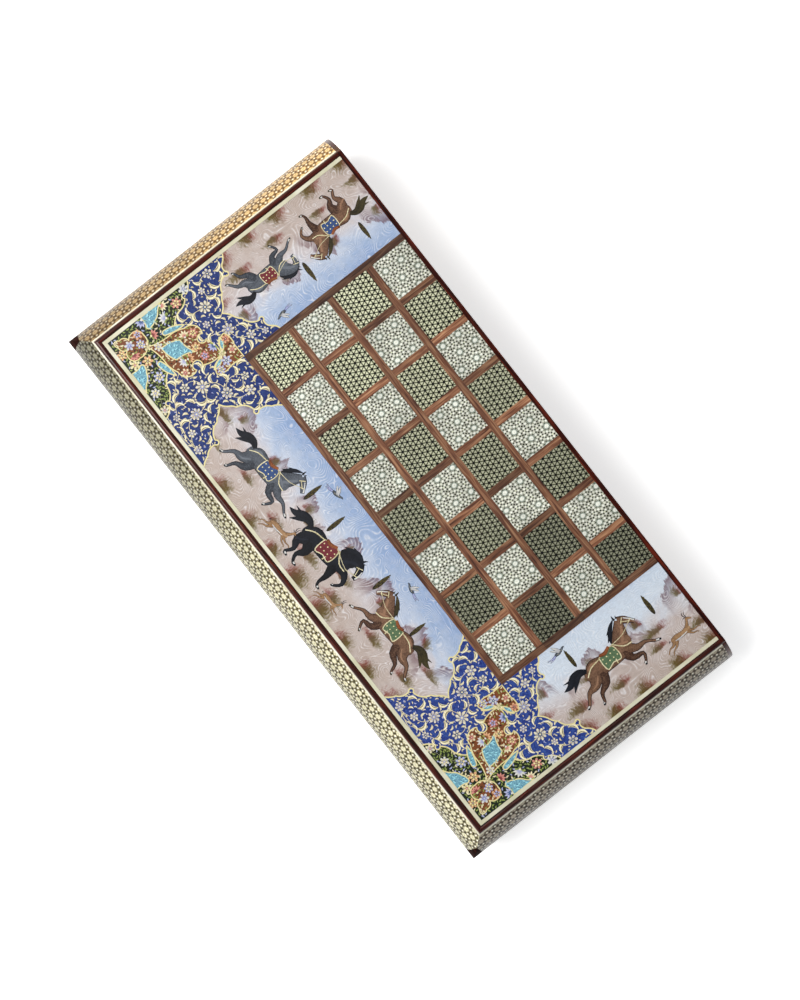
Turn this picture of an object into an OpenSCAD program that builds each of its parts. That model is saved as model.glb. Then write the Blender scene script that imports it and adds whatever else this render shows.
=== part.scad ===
// Folding backgammon case with an inlaid chess field on its outside.
// The closed case lies on its lower half. X runs along the hinge edge, the hinge edge is at +Y, Z is up.
// The origin is the middle of the face that the case lies on. All sizes are in millimetres.

/* [Case] */
// Length of the case along the hinge edge
case_w = 500; // [440:1:620]
// Depth of the closed case from the front edge to the hinge edge
case_d = 250; // [236:1:320]
// Height of the closed case
case_h = 58; // [54:0.5:70]
// Air between the two rims when the case is closed
parting_gap = 0.3; // [0.1:0.05:0.6]
// Width of the front and side walls at the rim
wall_t = 16; // [14:0.5:24]
// Thickness of the board that closes each half
board_t = 4.2; // [3.4:0.1:6]
// Thickness of the tiles, lattice strips and pale line laid on the board
facing_t = 1.6; // [1.2:0.1:2.2]
// How far the painted panel lies below the strips around it
paint_sink = 0.2; // [0.1:0.05:0.4]
// Air left at a glued joint between two inlaid pieces
inlay_gap = 0.1; // [0.04:0.02:0.2]

/* [Curved side bands] */
// Width of the band seen from straight above
band_run = 16.4; // [13:0.1:19]
// Depth of the band's upper edge below the outer face
band_drop = 2.95; // [2.6:0.05:4]
// Radius of the convex curve across the band
band_r = 42; // [36:0.5:70]
// Thickness of the mosaic sheet
band_t = 1.5; // [0.8:0.1:2]
// Side of the dark block at each front corner
corner_s = 9; // [4:0.1:10]

/* [Bead and lines] */
// Width of the ivory line above the band
ivory_w = 1.3; // [0.8:0.1:2]
// How far the ivory line's upper edge lies below the outer face
ivory_drop = 2.1; // [1.9:0.05:2.4]
// Width of the half-round bead
bead_w = 4.8; // [3.6:0.1:5.2]
// Height of the bead's square foot under its round top
bead_foot = 1.4; // [0.8:0.1:1.8]
// Width of the pale line inside the bead
cream_w = 2.8; // [1.5:0.1:5]

/* [Chess field] */
// Length of a tile along the hinge edge
tile_w = 32.3; // [24:0.1:38]
// Length of a tile across the case
tile_d = 31.1; // [24:0.1:34]
// Width of the lattice strips between the tiles
strip_w = 5.7; // [3:0.1:8]
// Tiles in a row along the hinge edge
tiles_across = 8; // [4:1:8]
// Rows of tiles on each half
tiles_deep = 4; // [2:1:4]

/* [Playing field] */
// Thickness of the veneer field and its points
field_t = 1.2; // [0.8:0.1:2]
// Length of a point from the end wall
point_l = 188; // [120:1:195]
// Width of a point at the end wall
point_w = 32; // [20:0.5:34]
// Points at each end wall
points_n = 6; // [4:1:6]
// Thickness of the mosaic facing let into the rims
rim_t = 1; // [0.6:0.1:1.1]

/* [Hinge edge] */
// Thickness of the dark lipping on the hinge edge
lipping_t = 3.6; // [3:0.1:5]
// Thickness of the rail behind the lipping
hinge_rail_t = 10; // [9:0.5:16]
// Radius of the lipping's rounded upright corners
lipping_r = 2.6; // [0.5:0.1:3]
// Distance from the hinge edge to the hinge axis
hinge_gap = 0.3; // [0.2:0.05:0.6]

/* [Hinges] */
// Length of a hinge
hinge_l = 50; // [36:1:70]
// Distance of each hinge from the middle of the case
hinge_x = 150; // [100:1:185]
// Width of a leaf from the hinge axis
leaf_w = 10.5; // [9.5:0.1:12.5]
// Thickness of a leaf
leaf_t = 1.2; // [1:0.1:1.6]
// Knuckles along one hinge
knuckles = 5; // [3:2:7]
// Outer radius of the knuckles
barrel_r = 2.25; // [2:0.05:2.6]
// Air between knuckles, and round them in the wood
barrel_gap = 0.3; // [0.2:0.05:0.5]
// Radius of the pin
pin_r = 1.1; // [0.8:0.05:1.3]
// Running clearance of the pin in the upper leaf
pin_clear = 0.05; // [0.02:0.01:0.09]
// Clearance of the pin in the lower leaf, which holds it
pin_seat = 0.02; // [0.01:0.01:0.04]
// Screws in a leaf
screws_n = 3; // [2:1:3]
// Radius of a screw's shank
screw_r = 1.1; // [0.8:0.05:1.2]
// Radius of a screw's head
head_r = 2.1; // [1.8:0.05:2.3]
// Length of a screw
screw_l = 9; // [5:0.5:11]
// Distance of the screws from the hinge axis
screw_y = 6.6; // [6:0.1:7]

/* [Hidden] */
$fn = 64;

// Levels in one half, counted from its outer face towards its rim.
half_h = (case_h - parting_gap) / 2;
board_top = facing_t + board_t;
field_top = board_top + field_t;
rail_top = half_h - rim_t;

// The band's curve runs through its lower edge at the rim and its upper edge under the ivory line.
// A point of a side profile is [distance in from the outline, depth from the outer face].
arc_rise = half_h - band_drop;
arc_chord = norm([band_run, arc_rise]);
arc_sag = sqrt(band_r * band_r - arc_chord * arc_chord / 4);
arc_x = band_run / 2 + arc_sag * arc_rise / arc_chord;
arc_z = (half_h + band_drop) / 2 + arc_sag * band_run / arc_chord;
// Distance in from the outline of the curve, moved in by a thickness, at a depth
function arc_in(inset, depth) = arc_x - sqrt(pow(band_r - inset, 2) - pow(depth - arc_z, 2));

// Distances in from the outline to the inlaid edges of the outer face
ivory_in = band_run + ivory_w;
bead_in = ivory_in + bead_w;
cream_in = bead_in + cream_w;
bead_base = bead_w / 2 + bead_foot;
skin = band_t + inlay_gap;

// Places across the hinge edge
hinge_face = case_d / 2;
lipping_y = hinge_face - lipping_t;
hinge_rail_y = lipping_y - hinge_rail_t;
axis_y = hinge_face + hinge_gap;
axis_z = case_h / 2;

// Chess field
pitch_w = tile_w + strip_w;
pitch_d = tile_d + strip_w;
chess_x = (tiles_across * pitch_w - strip_w) / 2;
chess_y = lipping_y - (tiles_deep * pitch_d - strip_w);
lattice_x = chess_x + strip_w;
lattice_y = chess_y - strip_w;

// Playing field
tray_x = case_w / 2 - wall_t;
tray_y = -case_d / 2 + wall_t;
point_pitch = (hinge_rail_y - tray_y) / points_n;
// Half the angle at a point's tip
point_a = atan(point_w / 2 / point_l);

// Hinges
knuckle_l = hinge_l / knuckles;
screw_pitch = hinge_l / screws_n;
head_t = head_r - screw_r;
// Room round a screw's shank in the wood, and round its head in the leaf
screw_ease = 0.02;
head_ease = 0.05;
// Depth of a pilot hole past the screw's tip
pilot_past = 0.3;
// Blunt end of a screw's tip
tip_r = 0.2;
// Reach of cuts past a face, and of profiles past the case
past = 1;
beyond = 2 * case_w;

// Places one piece in the lower half, or turned over in the upper half
module lower_half() {
    children();
}
module upper_half() {
    translate([0, 0, case_h]) mirror([0, 0, 1]) children();
}

// Runs a side profile along the front edge
module along_front() {
    translate([-case_w / 2, -case_d / 2, 0])
        rotate([90, 0, 90]) linear_extrude(case_w) children();
}
// Runs a side profile along the left edge
module along_left() {
    translate([-case_w / 2, case_d / 2, 0])
        rotate([90, 0, 0]) linear_extrude(case_d) children();
}
module right_of_left() {
    mirror([1, 0, 0]) children();
}

// Plan of a strip along the front between two insets, mitred at both ends
module front_plan(from, to) {
    e = inlay_gap / 2;
    x = case_w / 2;
    y = case_d / 2;
    linear_extrude(case_h) polygon([
        [-x + from + e, -y + from], [x - from - e, -y + from],
        [x - to - e, -y + to], [-x + to + e, -y + to]]);
}
// Plan of a strip along the left between two insets, mitred at the front and square at the hinge end
module left_plan(from, to, end = lipping_y) {
    e = inlay_gap / 2;
    x = case_w / 2;
    y = case_d / 2;
    linear_extrude(case_h) polygon([
        [-x + from, -y + from + e], [-x + to, -y + to + e], [-x + to, end], [-x + from, end]]);
}

// Everything inside the band's curve, moved in by a thickness, between two depths
module under_curve(inset, low, high, width) {
    intersection() {
        translate([0, low]) square([width, high - low]);
        union() {
            translate([arc_x, arc_z]) circle(r = band_r - inset, $fn = 180);
            translate([arc_x, low - past]) square([width, high - low + 2 * past]);
        }
    }
}

// A block of one half with the curve on its front and both ends, cut off square at the hinge side
module curved_block(inset, low, high, end) {
    intersection() {
        along_front() under_curve(inset, low, high, beyond);
        along_left() under_curve(inset, low, high, beyond);
        right_of_left() along_left() under_curve(inset, low, high, beyond);
        translate([-case_w / 2, -case_d / 2, low]) cube([case_w, case_d / 2 + end, high - low]);
    }
}

// Prisms at the two front corners, where the dark blocks sit
module corner_prisms(side) {
    for (m = [0, 1]) mirror([m, 0, 0])
        translate([-case_w / 2 - past, -case_d / 2 - past, -past])
            cube([side + past, side + past, half_h + 2 * past]);
}

// Room that the leaves and knuckles need in the wood of one half
module hinge_room() {
    for (m = [0, 1]) mirror([m, 0, 0]) translate([hinge_x, 0, 0]) {
        translate([-hinge_l / 2 - inlay_gap, axis_y - leaf_w - inlay_gap, half_h - leaf_t])
            cube([hinge_l + 2 * inlay_gap, leaf_w + inlay_gap + past, leaf_t + past]);
        translate([-hinge_l / 2 - barrel_gap, axis_y, half_h + parting_gap / 2])
            rotate([0, 90, 0]) cylinder(r = barrel_r + barrel_gap, h = hinge_l + 2 * barrel_gap);
        for (i = [0 : screws_n - 1])
            translate([(i + 0.5) * screw_pitch - hinge_l / 2, axis_y - screw_y, half_h - screw_l - pilot_past])
                cylinder(r = screw_r + screw_ease, h = screw_l, $fn = 32);
    }
}

// Board that closes a half. Its edge carries on the curve and is rebated for the bead and the ivory line.
module board() {
    inner = band_run + inlay_gap;
    difference() {
        union() {
            curved_block(skin, facing_t, board_top, lipping_y);
            translate([-case_w / 2 + inner, -case_d / 2 + inner, facing_t])
                cube([case_w - 2 * inner, case_d / 2 - inner + lipping_y, board_t]);
        }
        bead_rebate();
    }
}
module bead_rebate() {
    translate([0, 0, -past]) linear_extrude(bead_base + past) difference() {
        square([beyond, beyond], center = true);
        translate([-case_w / 2 + bead_in, -case_d / 2 + bead_in])
            square([case_w - 2 * bead_in, beyond]);
    }
}

module front_rail() {
    difference() {
        intersection() {
            along_front() under_curve(skin, board_top, rail_top, wall_t);
            front_plan(0, wall_t);
        }
        corner_prisms(corner_s + inlay_gap);
    }
}
module left_rail() {
    difference() {
        intersection() {
            along_left() under_curve(skin, board_top, rail_top, wall_t);
            left_plan(0, wall_t, hinge_rail_y);
        }
        corner_prisms(corner_s + inlay_gap);
    }
}
module hinge_rail() {
    difference() {
        intersection() {
            curved_block(skin, board_top, rail_top, lipping_y);
            translate([-case_w / 2, hinge_rail_y, 0]) cube([case_w, hinge_rail_t, half_h]);
        }
        hinge_room();
    }
}
// Dark lipping over the whole hinge edge. Its ends show the case's side profile.
module hinge_lipping() {
    difference() {
        translate([0, hinge_face, 0])
            rotate([90, 0, 0]) linear_extrude(lipping_t) end_profile();
        for (m = [0, 1]) mirror([m, 0, 0]) translate([-case_w / 2, hinge_face, -past])
            linear_extrude(half_h + 2 * past) difference() {
                translate([-past, -lipping_r]) square(lipping_r + past);
                translate([lipping_r, -lipping_r]) circle(r = lipping_r);
            }
        hinge_room();
    }
}
// Side profile of both ends at once, with the bead's round shoulder and the ivory line's slope
module end_profile() {
    r = bead_w / 2;
    side = -case_w / 2 + ivory_in + r;
    low = -case_w / 2 + band_run + inlay_gap / 2;
    intersection() {
        translate([-case_w / 2, 0]) under_curve(0, band_drop, half_h, case_w);
        translate([case_w / 2, 0]) mirror([1, 0]) under_curve(0, band_drop, half_h, case_w);
    }
    translate([side, 0]) square([-2 * side, bead_base]);
    for (m = [0, 1]) mirror([m, 0]) {
        intersection() {
            translate([side, r]) circle(r = r);
            translate([side - r, 0]) square([bead_w, r]);
        }
        polygon([
            [low, band_drop], [-case_w / 2 + ivory_in, ivory_drop],
            [side + inlay_gap, ivory_drop], [side + inlay_gap, bead_base], [low, bead_base]]);
    }
}

// Curved mosaic sheet over the rails and the board's edge
module band_profile() {
    intersection() {
        difference() {
            under_curve(0, band_drop - past, half_h, band_run);
            under_curve(band_t, band_drop - 2 * past, half_h + past, beyond);
        }
        translate([0, band_drop - past]) square([band_run, half_h]);
    }
}
module front_band() {
    difference() {
        intersection() {
            along_front() band_profile();
            front_plan(0, band_run);
        }
        corner_prisms(corner_s + inlay_gap);
    }
}
module left_band() {
    difference() {
        intersection() {
            along_left() band_profile();
            left_plan(0, band_run);
        }
        corner_prisms(corner_s + inlay_gap);
    }
}
module corner_blocks() {
    intersection() {
        curved_block(0, band_drop, half_h, 0);
        corner_prisms(corner_s);
    }
}

// Half-round top on a square foot
module bead_profile() {
    r = bead_w / 2;
    intersection() {
        translate([ivory_in + r, r]) circle(r = r);
        translate([ivory_in, 0]) square([bead_w, r]);
    }
    translate([ivory_in, r]) square([bead_w, bead_foot]);
}
module front_bead() {
    intersection() {
        along_front() bead_profile();
        front_plan(ivory_in, bead_in);
    }
}
module left_bead() {
    intersection() {
        along_left() bead_profile();
        left_plan(ivory_in, bead_in);
    }
}
// Ivory line whose top carries the band's slope up to the bead
module ivory_lines() {
    module profile() {
        polygon([
            [band_run, band_drop], [ivory_in, ivory_drop],
            [ivory_in, bead_base], [band_run, bead_base]]);
    }
    intersection() {
        along_front() profile();
        front_plan(band_run, ivory_in);
    }
    for (m = [0, 1]) mirror([m, 0, 0]) intersection() {
        along_left() profile();
        left_plan(band_run, ivory_in);
    }
}
module cream_lines() {
    module profile() {
        translate([bead_in, 0]) square([cream_w, facing_t]);
    }
    intersection() {
        along_front() profile();
        front_plan(bead_in, cream_in);
    }
    for (m = [0, 1]) mirror([m, 0, 0]) intersection() {
        along_left() profile();
        left_plan(bead_in, cream_in);
    }
}

// Painted panel on three sides of the chess field
module painted_panel() {
    e = inlay_gap / 2;
    translate([0, 0, paint_sink]) linear_extrude(facing_t - paint_sink) difference() {
        translate([-case_w / 2 + cream_in + e, -case_d / 2 + cream_in + e])
            square([case_w - 2 * cream_in - 2 * e, case_d / 2 - cream_in + lipping_y - 2 * e]);
        translate([-lattice_x - e, lattice_y - e])
            square([2 * (lattice_x + e), case_d]);
    }
}

// One flat inlaid piece of the outer face, eased on all sides
module inlay(x, y, w, d) {
    e = inlay_gap / 2;
    translate([x + e, y + e, 0]) cube([w - 2 * e, d - 2 * e, facing_t]);
}
// Tiles of one colour. The two halves make a whole chequered board when the case lies open.
module tiles(odd) {
    for (row = [0 : tiles_deep - 1], col = [0 : tiles_across - 1])
        if ((row + col) % 2 == odd)
            inlay(-chess_x + col * pitch_w, lipping_y - tile_d - row * pitch_d, tile_w, tile_d);
}
// Strips between and round the tiles: long ones along the case, short ones between the rows
module lattice() {
    for (s = [-lattice_x, chess_x])
        inlay(s, lattice_y, strip_w, lipping_y - lattice_y);
    for (row = [1 : tiles_deep])
        inlay(-chess_x, lipping_y - row * pitch_d, 2 * chess_x, strip_w);
    for (row = [0 : tiles_deep - 1], col = [1 : tiles_across - 1])
        inlay(-chess_x - strip_w + col * pitch_w, lipping_y - tile_d - row * pitch_d, strip_w, tile_d);
}

// Plan of a long triangle that starts on an end wall, with a joint's air round it if it is a cut
module point_plan(air) {
    half = point_w / 2 + air / cos(point_a);
    polygon([[air > 0 ? -past : inlay_gap, -half], [air > 0 ? -past : inlay_gap, half],
        [half / tan(point_a) + inlay_gap, 0]]);
}
// Puts a plan at every point's place that the test lets through. Facing points have opposite colours.
module at_points(odd) {
    for (end = [0, 1], i = [0 : points_n - 1])
        if ((i + end) % 2 == odd) mirror([end, 0, 0])
            translate([-tray_x, tray_y + (i + 0.5) * point_pitch, board_top]) children();
}
module points(odd) {
    at_points(odd) linear_extrude(field_t) point_plan(0);
}
// Veneer floor of a half, with the points let in
module field() {
    difference() {
        translate([-tray_x + inlay_gap, tray_y + inlay_gap, board_top])
            cube([2 * (tray_x - inlay_gap), hinge_rail_y - tray_y - 2 * inlay_gap, field_t]);
        for (odd = [0, 1]) at_points(odd)
            translate([0, 0, -past]) linear_extrude(field_t + 2 * past) point_plan(inlay_gap);
    }
}

// Mosaic strips let into the rims, mitred at the front corners and cut round the leaves
module rim_facings() {
    edge = arc_in(skin, rail_top);
    e = inlay_gap / 2;
    difference() {
        intersection() {
            union() {
                front_plan(edge, wall_t);
                for (m = [0, 1]) mirror([m, 0, 0]) left_plan(edge, wall_t, hinge_rail_y - e);
                translate([-case_w / 2 + edge, hinge_rail_y + e, 0])
                    cube([case_w - 2 * edge, hinge_rail_t - e, case_h]);
            }
            translate([-case_w / 2, -case_d / 2, rail_top]) cube([case_w, case_d, rim_t]);
        }
        corner_prisms(corner_s + inlay_gap);
        hinge_room();
    }
}

// One side of both hinges: a flat leaf and its share of the knuckles
module hinge_leaves(first, bore) {
    for (s = [-1, 1]) translate([s * hinge_x - hinge_l / 2, 0, 0]) difference() {
        union() {
            translate([0, axis_y - leaf_w, half_h - leaf_t]) cube([hinge_l, leaf_w, leaf_t]);
            knuckle_run(first, barrel_r, 0);
        }
        knuckle_run(1 - first, barrel_r + barrel_gap, barrel_gap / 2);
        translate([-past, axis_y, half_h + parting_gap / 2])
            rotate([0, 90, 0]) cylinder(r = bore, h = hinge_l + 2 * past);
        for (i = [0 : screws_n - 1])
            translate([(i + 0.5) * screw_pitch, axis_y - screw_y, half_h]) {
                translate([0, 0, -head_t]) cylinder(r1 = screw_r + head_ease, r2 = head_r + head_ease, h = head_t);
                translate([0, 0, -leaf_t - past]) cylinder(r = screw_r + head_ease, h = leaf_t + past);
            }
    }
}
// Every second knuckle from the first one on, each drawn in or let out at its ends
module knuckle_run(first, r, out) {
    for (i = [first : 2 : knuckles - 1])
        translate([i * knuckle_l + barrel_gap / 2 - out, axis_y, half_h + parting_gap / 2])
            rotate([0, 90, 0]) cylinder(r = r, h = knuckle_l - barrel_gap + 2 * out);
}
module hinge_screws() {
    for (s = [-1, 1], i = [0 : screws_n - 1])
        translate([s * hinge_x - hinge_l / 2 + (i + 0.5) * screw_pitch, axis_y - screw_y, half_h]) {
            translate([0, 0, -head_t]) cylinder(r1 = screw_r, r2 = head_r, h = head_t);
            translate([0, 0, -screw_l + screw_r]) cylinder(r = screw_r, h = screw_l - screw_r - head_t, $fn = 32);
            translate([0, 0, -screw_l]) cylinder(r1 = tip_r, r2 = screw_r, h = screw_r, $fn = 32);
        }
}

module pins() {
    for (s = [-1, 1])
        translate([s * hinge_x - hinge_l / 2, axis_y, axis_z])
            rotate([0, 90, 0]) cylinder(r = pin_r, h = hinge_l);
}

module lower_board() { color("peru") lower_half() board(); }
module lower_front_rail() { color("saddlebrown") lower_half() front_rail(); }
module lower_left_rail() { color("saddlebrown") lower_half() left_rail(); }
module lower_right_rail() { color("saddlebrown") lower_half() right_of_left() left_rail(); }
module lower_hinge_rail() { color("saddlebrown") lower_half() hinge_rail(); }
module lower_hinge_lipping() { color("#5a2e26") lower_half() hinge_lipping(); }
module lower_front_band() { color("#cfc7a6") lower_half() front_band(); }
module lower_left_band() { color("#cfc7a6") lower_half() left_band(); }
module lower_right_band() { color("#cfc7a6") lower_half() right_of_left() left_band(); }
module lower_corner_blocks() { color("#3a1d18") lower_half() corner_blocks(); }
module lower_front_bead() { color("#4e2a20") lower_half() front_bead(); }
module lower_left_bead() { color("#4e2a20") lower_half() left_bead(); }
module lower_right_bead() { color("#4e2a20") lower_half() right_of_left() left_bead(); }
module lower_ivory_lines() { color("#efe7c8") lower_half() ivory_lines(); }
module lower_cream_lines() { color("#efeacb") lower_half() cream_lines(); }
module lower_painted_panel() { color("#3f56a0") lower_half() painted_panel(); }
module lower_light_tiles() { color("#c8c8b9") lower_half() tiles(1); }
module lower_dark_tiles() { color("#82846f") lower_half() tiles(0); }
module lower_lattice() { color("#8b5032") lower_half() lattice(); }
module lower_field() { color("#7a4a2c") lower_half() field(); }
module lower_light_points() { color("#d9c9a0") lower_half() points(0); }
module lower_dark_points() { color("#4a2a1c") lower_half() points(1); }
module lower_rim_facings() { color("#b9ad85") lower_half() rim_facings(); }
module lower_hinge_leaves() { color("#c9a24a") lower_half() hinge_leaves(0, pin_r + pin_seat); }
module lower_hinge_screws() { color("#b8923e") lower_half() hinge_screws(); }
module hinge_pins() { color("#a8842f") pins(); }
module upper_board() { color("peru") upper_half() board(); }
module upper_front_rail() { color("saddlebrown") upper_half() front_rail(); }
module upper_left_rail() { color("saddlebrown") upper_half() left_rail(); }
module upper_right_rail() { color("saddlebrown") upper_half() right_of_left() left_rail(); }
module upper_hinge_rail() { color("saddlebrown") upper_half() hinge_rail(); }
module upper_hinge_lipping() { color("#5a2e26") upper_half() hinge_lipping(); }
module upper_front_band() { color("#cfc7a6") upper_half() front_band(); }
module upper_left_band() { color("#cfc7a6") upper_half() left_band(); }
module upper_right_band() { color("#cfc7a6") upper_half() right_of_left() left_band(); }
module upper_corner_blocks() { color("#3a1d18") upper_half() corner_blocks(); }
module upper_front_bead() { color("#4e2a20") upper_half() front_bead(); }
module upper_left_bead() { color("#4e2a20") upper_half() left_bead(); }
module upper_right_bead() { color("#4e2a20") upper_half() right_of_left() left_bead(); }
module upper_ivory_lines() { color("#efe7c8") upper_half() ivory_lines(); }
module upper_cream_lines() { color("#efeacb") upper_half() cream_lines(); }
module upper_painted_panel() { color("#3f56a0") upper_half() painted_panel(); }
module upper_light_tiles() { color("#c8c8b9") upper_half() tiles(0); }
module upper_dark_tiles() { color("#82846f") upper_half() tiles(1); }
module upper_lattice() { color("#8b5032") upper_half() lattice(); }
module upper_field() { color("#7a4a2c") upper_half() field(); }
module upper_light_points() { color("#d9c9a0") upper_half() points(0); }
module upper_dark_points() { color("#4a2a1c") upper_half() points(1); }
module upper_rim_facings() { color("#b9ad85") upper_half() rim_facings(); }
module upper_hinge_leaves() { color("#c9a24a") upper_half() hinge_leaves(1, pin_r + pin_clear); }
module upper_hinge_screws() { color("#b8923e") upper_half() hinge_screws(); }

lower_board();
lower_front_rail();
lower_left_rail();
lower_right_rail();
lower_hinge_rail();
lower_hinge_lipping();
lower_front_band();
lower_left_band();
lower_right_band();
lower_corner_blocks();
lower_front_bead();
lower_left_bead();
lower_right_bead();
lower_ivory_lines();
lower_cream_lines();
lower_painted_panel();
lower_light_tiles();
lower_dark_tiles();
lower_lattice();
lower_field();
lower_light_points();
lower_dark_points();
lower_rim_facings();
lower_hinge_leaves();
lower_hinge_screws();
hinge_pins();
upper_board();
upper_front_rail();
upper_left_rail();
upper_right_rail();
upper_hinge_rail();
upper_hinge_lipping();
upper_front_band();
upper_left_band();
upper_right_band();
upper_corner_blocks();
upper_front_bead();
upper_left_bead();
upper_right_bead();
upper_ivory_lines();
upper_cream_lines();
upper_painted_panel();
upper_light_tiles();
upper_dark_tiles();
upper_lattice();
upper_field();
upper_light_points();
upper_dark_points();
upper_rim_facings();
upper_hinge_leaves();
upper_hinge_screws();
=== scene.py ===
# %% [markdown]
# # A folding backgammon case
# The real case is two shallow trays of wood, hinged along one long edge. Its outside carries half a
# chessboard on each half, a painted border, a dark bead and curved sheets of khatam, which is a mosaic
# of tiny triangles of wood, bone and brass. The construction comes packed as a fixed frame. This lesson
# gives every piece its finish and adds the painting, which is the only thing that is laid on afterwards.

# %% The frame and the tools
import math
import random

import bmesh
import bpy
from mathutils import Matrix, Vector, geometry, kdtree


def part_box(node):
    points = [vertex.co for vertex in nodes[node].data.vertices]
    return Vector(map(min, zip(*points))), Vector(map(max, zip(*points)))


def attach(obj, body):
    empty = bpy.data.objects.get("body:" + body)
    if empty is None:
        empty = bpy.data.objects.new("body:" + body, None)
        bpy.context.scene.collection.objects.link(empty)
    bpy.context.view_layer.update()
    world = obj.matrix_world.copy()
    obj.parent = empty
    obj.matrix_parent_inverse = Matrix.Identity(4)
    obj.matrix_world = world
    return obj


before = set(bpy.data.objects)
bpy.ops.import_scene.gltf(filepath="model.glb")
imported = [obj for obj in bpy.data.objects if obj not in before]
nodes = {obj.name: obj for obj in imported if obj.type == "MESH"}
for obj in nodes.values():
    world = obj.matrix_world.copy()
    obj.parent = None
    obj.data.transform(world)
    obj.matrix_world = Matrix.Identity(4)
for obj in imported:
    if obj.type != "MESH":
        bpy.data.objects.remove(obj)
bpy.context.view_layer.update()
MM = 0.001
print("nodes in the frame:", len(nodes))

# %% [markdown]
# ## The camera
# The photograph looks straight down on the closed case, which lies at an angle. A camera that looks
# along -Z needs no tilt, only a turn about Z, so its place is a height and an angle. It stands less than
# a millimetre beside the middle of the case, which settles where the case lies in the picture.

# %% The camera above the case
CAMERA_PLACE = (0.0005, -0.0007, 1.108)
CAMERA_TURN = math.radians(51.9)
CAMERA_LENS = 51.0
camera_data = bpy.data.cameras.new("camera")
camera_data.lens = CAMERA_LENS
camera = bpy.data.objects.new("camera", camera_data)
camera.location = CAMERA_PLACE
camera.rotation_euler = (0, 0, CAMERA_TURN)
bpy.context.scene.collection.objects.link(camera)
bpy.context.scene.camera = camera
print("camera at", CAMERA_PLACE, "m")

# %% [markdown]
# ## Building a material
# Each finish is a small node tree. One function adds a node with its settings, its values and its
# links, so that the recipes below read from top to bottom. Colours are written as on a colour picker
# and turned to linear light by one function. A picture on white paper is exposed brightly, and that
# function takes the extra light off again.

# %% Colours and nodes
WHITE_PAPER = 1.15


def paint(code):
    """An sRGB hex colour as linear RGBA."""
    parts = [int(code[i:i + 2], 16) / 255 for i in (1, 3, 5)]
    return [(c / 12.92 if c < 0.04045 else ((c + 0.055) / 1.055) ** 2.4) / WHITE_PAPER for c in parts] + [1]


def put(tree, kind, *values, out=0, stops=None, named=None, **settings):
    """Adds a node, fills or links its inputs in order or by name, and gives back one output."""
    made = tree.nodes.new("ShaderNode" + kind)
    for key, value in settings.items():
        setattr(made, key, value)
    pairs = list(enumerate(values)) + list((named or {}).items())
    for place, value in pairs:
        if isinstance(value, bpy.types.NodeSocket):
            tree.links.new(value, made.inputs[place])
        elif value is not None:
            made.inputs[place].default_value = value
    if stops:
        while len(made.color_ramp.elements) < len(stops):
            made.color_ramp.elements.new(0.5)
        for element, (position, code) in zip(made.color_ramp.elements, stops):
            element.position = position
            element.color = paint(code) if isinstance(code, str) else (code, code, code, 1)
    return made.outputs[out]


print("mid grey in linear light:", round(paint("#808080")[0], 3))

# %% The start and the end of a finish
def finish(name, coat=0.0, coat_roughness=0.08, metallic=0.0, gloss=0.5):
    """A new material: its tree, its shader, and the piece's own coordinates in millimetres."""
    material = bpy.data.materials.new(name)
    material.use_nodes = True
    tree = material.node_tree
    shader = tree.nodes["Principled BSDF"]
    shader.inputs["Metallic"].default_value = metallic
    shader.inputs["Specular IOR Level"].default_value = gloss
    shader.inputs["Coat Weight"].default_value = coat
    shader.inputs["Coat Roughness"].default_value = coat_roughness
    own = put(tree, "TexCoord", out=3)
    at = put(tree, "VectorMath", own, (1000, 1000, 1000), operation="MULTIPLY")
    return material, tree, shader, at


def connect(tree, shader, colour, roughness, height, depth):
    """Links a colour, a roughness and a relief to the shader. depth is in millimetres."""
    tree.links.new(colour, shader.inputs["Base Color"])
    if isinstance(roughness, bpy.types.NodeSocket):
        tree.links.new(roughness, shader.inputs["Roughness"])
    else:
        shader.inputs["Roughness"].default_value = roughness
    bump = put(tree, "Bump", named={"Height": height, "Distance": depth * MM, "Strength": 1.0})
    tree.links.new(bump, shader.inputs["Normal"])


def uneven(tree, at, size, low, high, detail=3):
    """A soft noise of a size in millimetres, spread between two values."""
    noise = put(tree, "TexNoise", at, None, 1 / size, detail)
    return put(tree, "MapRange", noise, 0.3, 0.7, low, high)


print("material tools ready")

# %% [markdown]
# ## The light
# Soft light comes from the left of the case, so the left band is bright and the right one lies in
# shade. A large lamp makes the shadows soft, and a pale world fills them. Straight above the case the
# world is dark, as it is behind a camera, so the varnish shows no haze and the colours stay deep.

# %% Lamps
def lamp(name, place, target, size, power, colour):
    """A square soft light that looks at a point."""
    data = bpy.data.lights.new(name, "AREA")
    data.shape = "SQUARE"
    data.size = size
    data.energy = power
    data.color = colour
    made = bpy.data.objects.new(name, data)
    made.location = place
    made.rotation_euler = (Vector(target) - Vector(place)).to_track_quat("-Z", "Y").to_euler()
    bpy.context.scene.collection.objects.link(made)
    print("lamp", name, power, "W")


lamp("key", (-0.8, -1.0, 1.5), (0, 0, 0.03), 1.3, 42, (1.0, 0.99, 0.97))
lamp("left_glow", (-1.1, 0.2, 0.2), (-0.25, 0, 0.04), 0.35, 1.3, (1.0, 0.62, 0.26))

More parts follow.
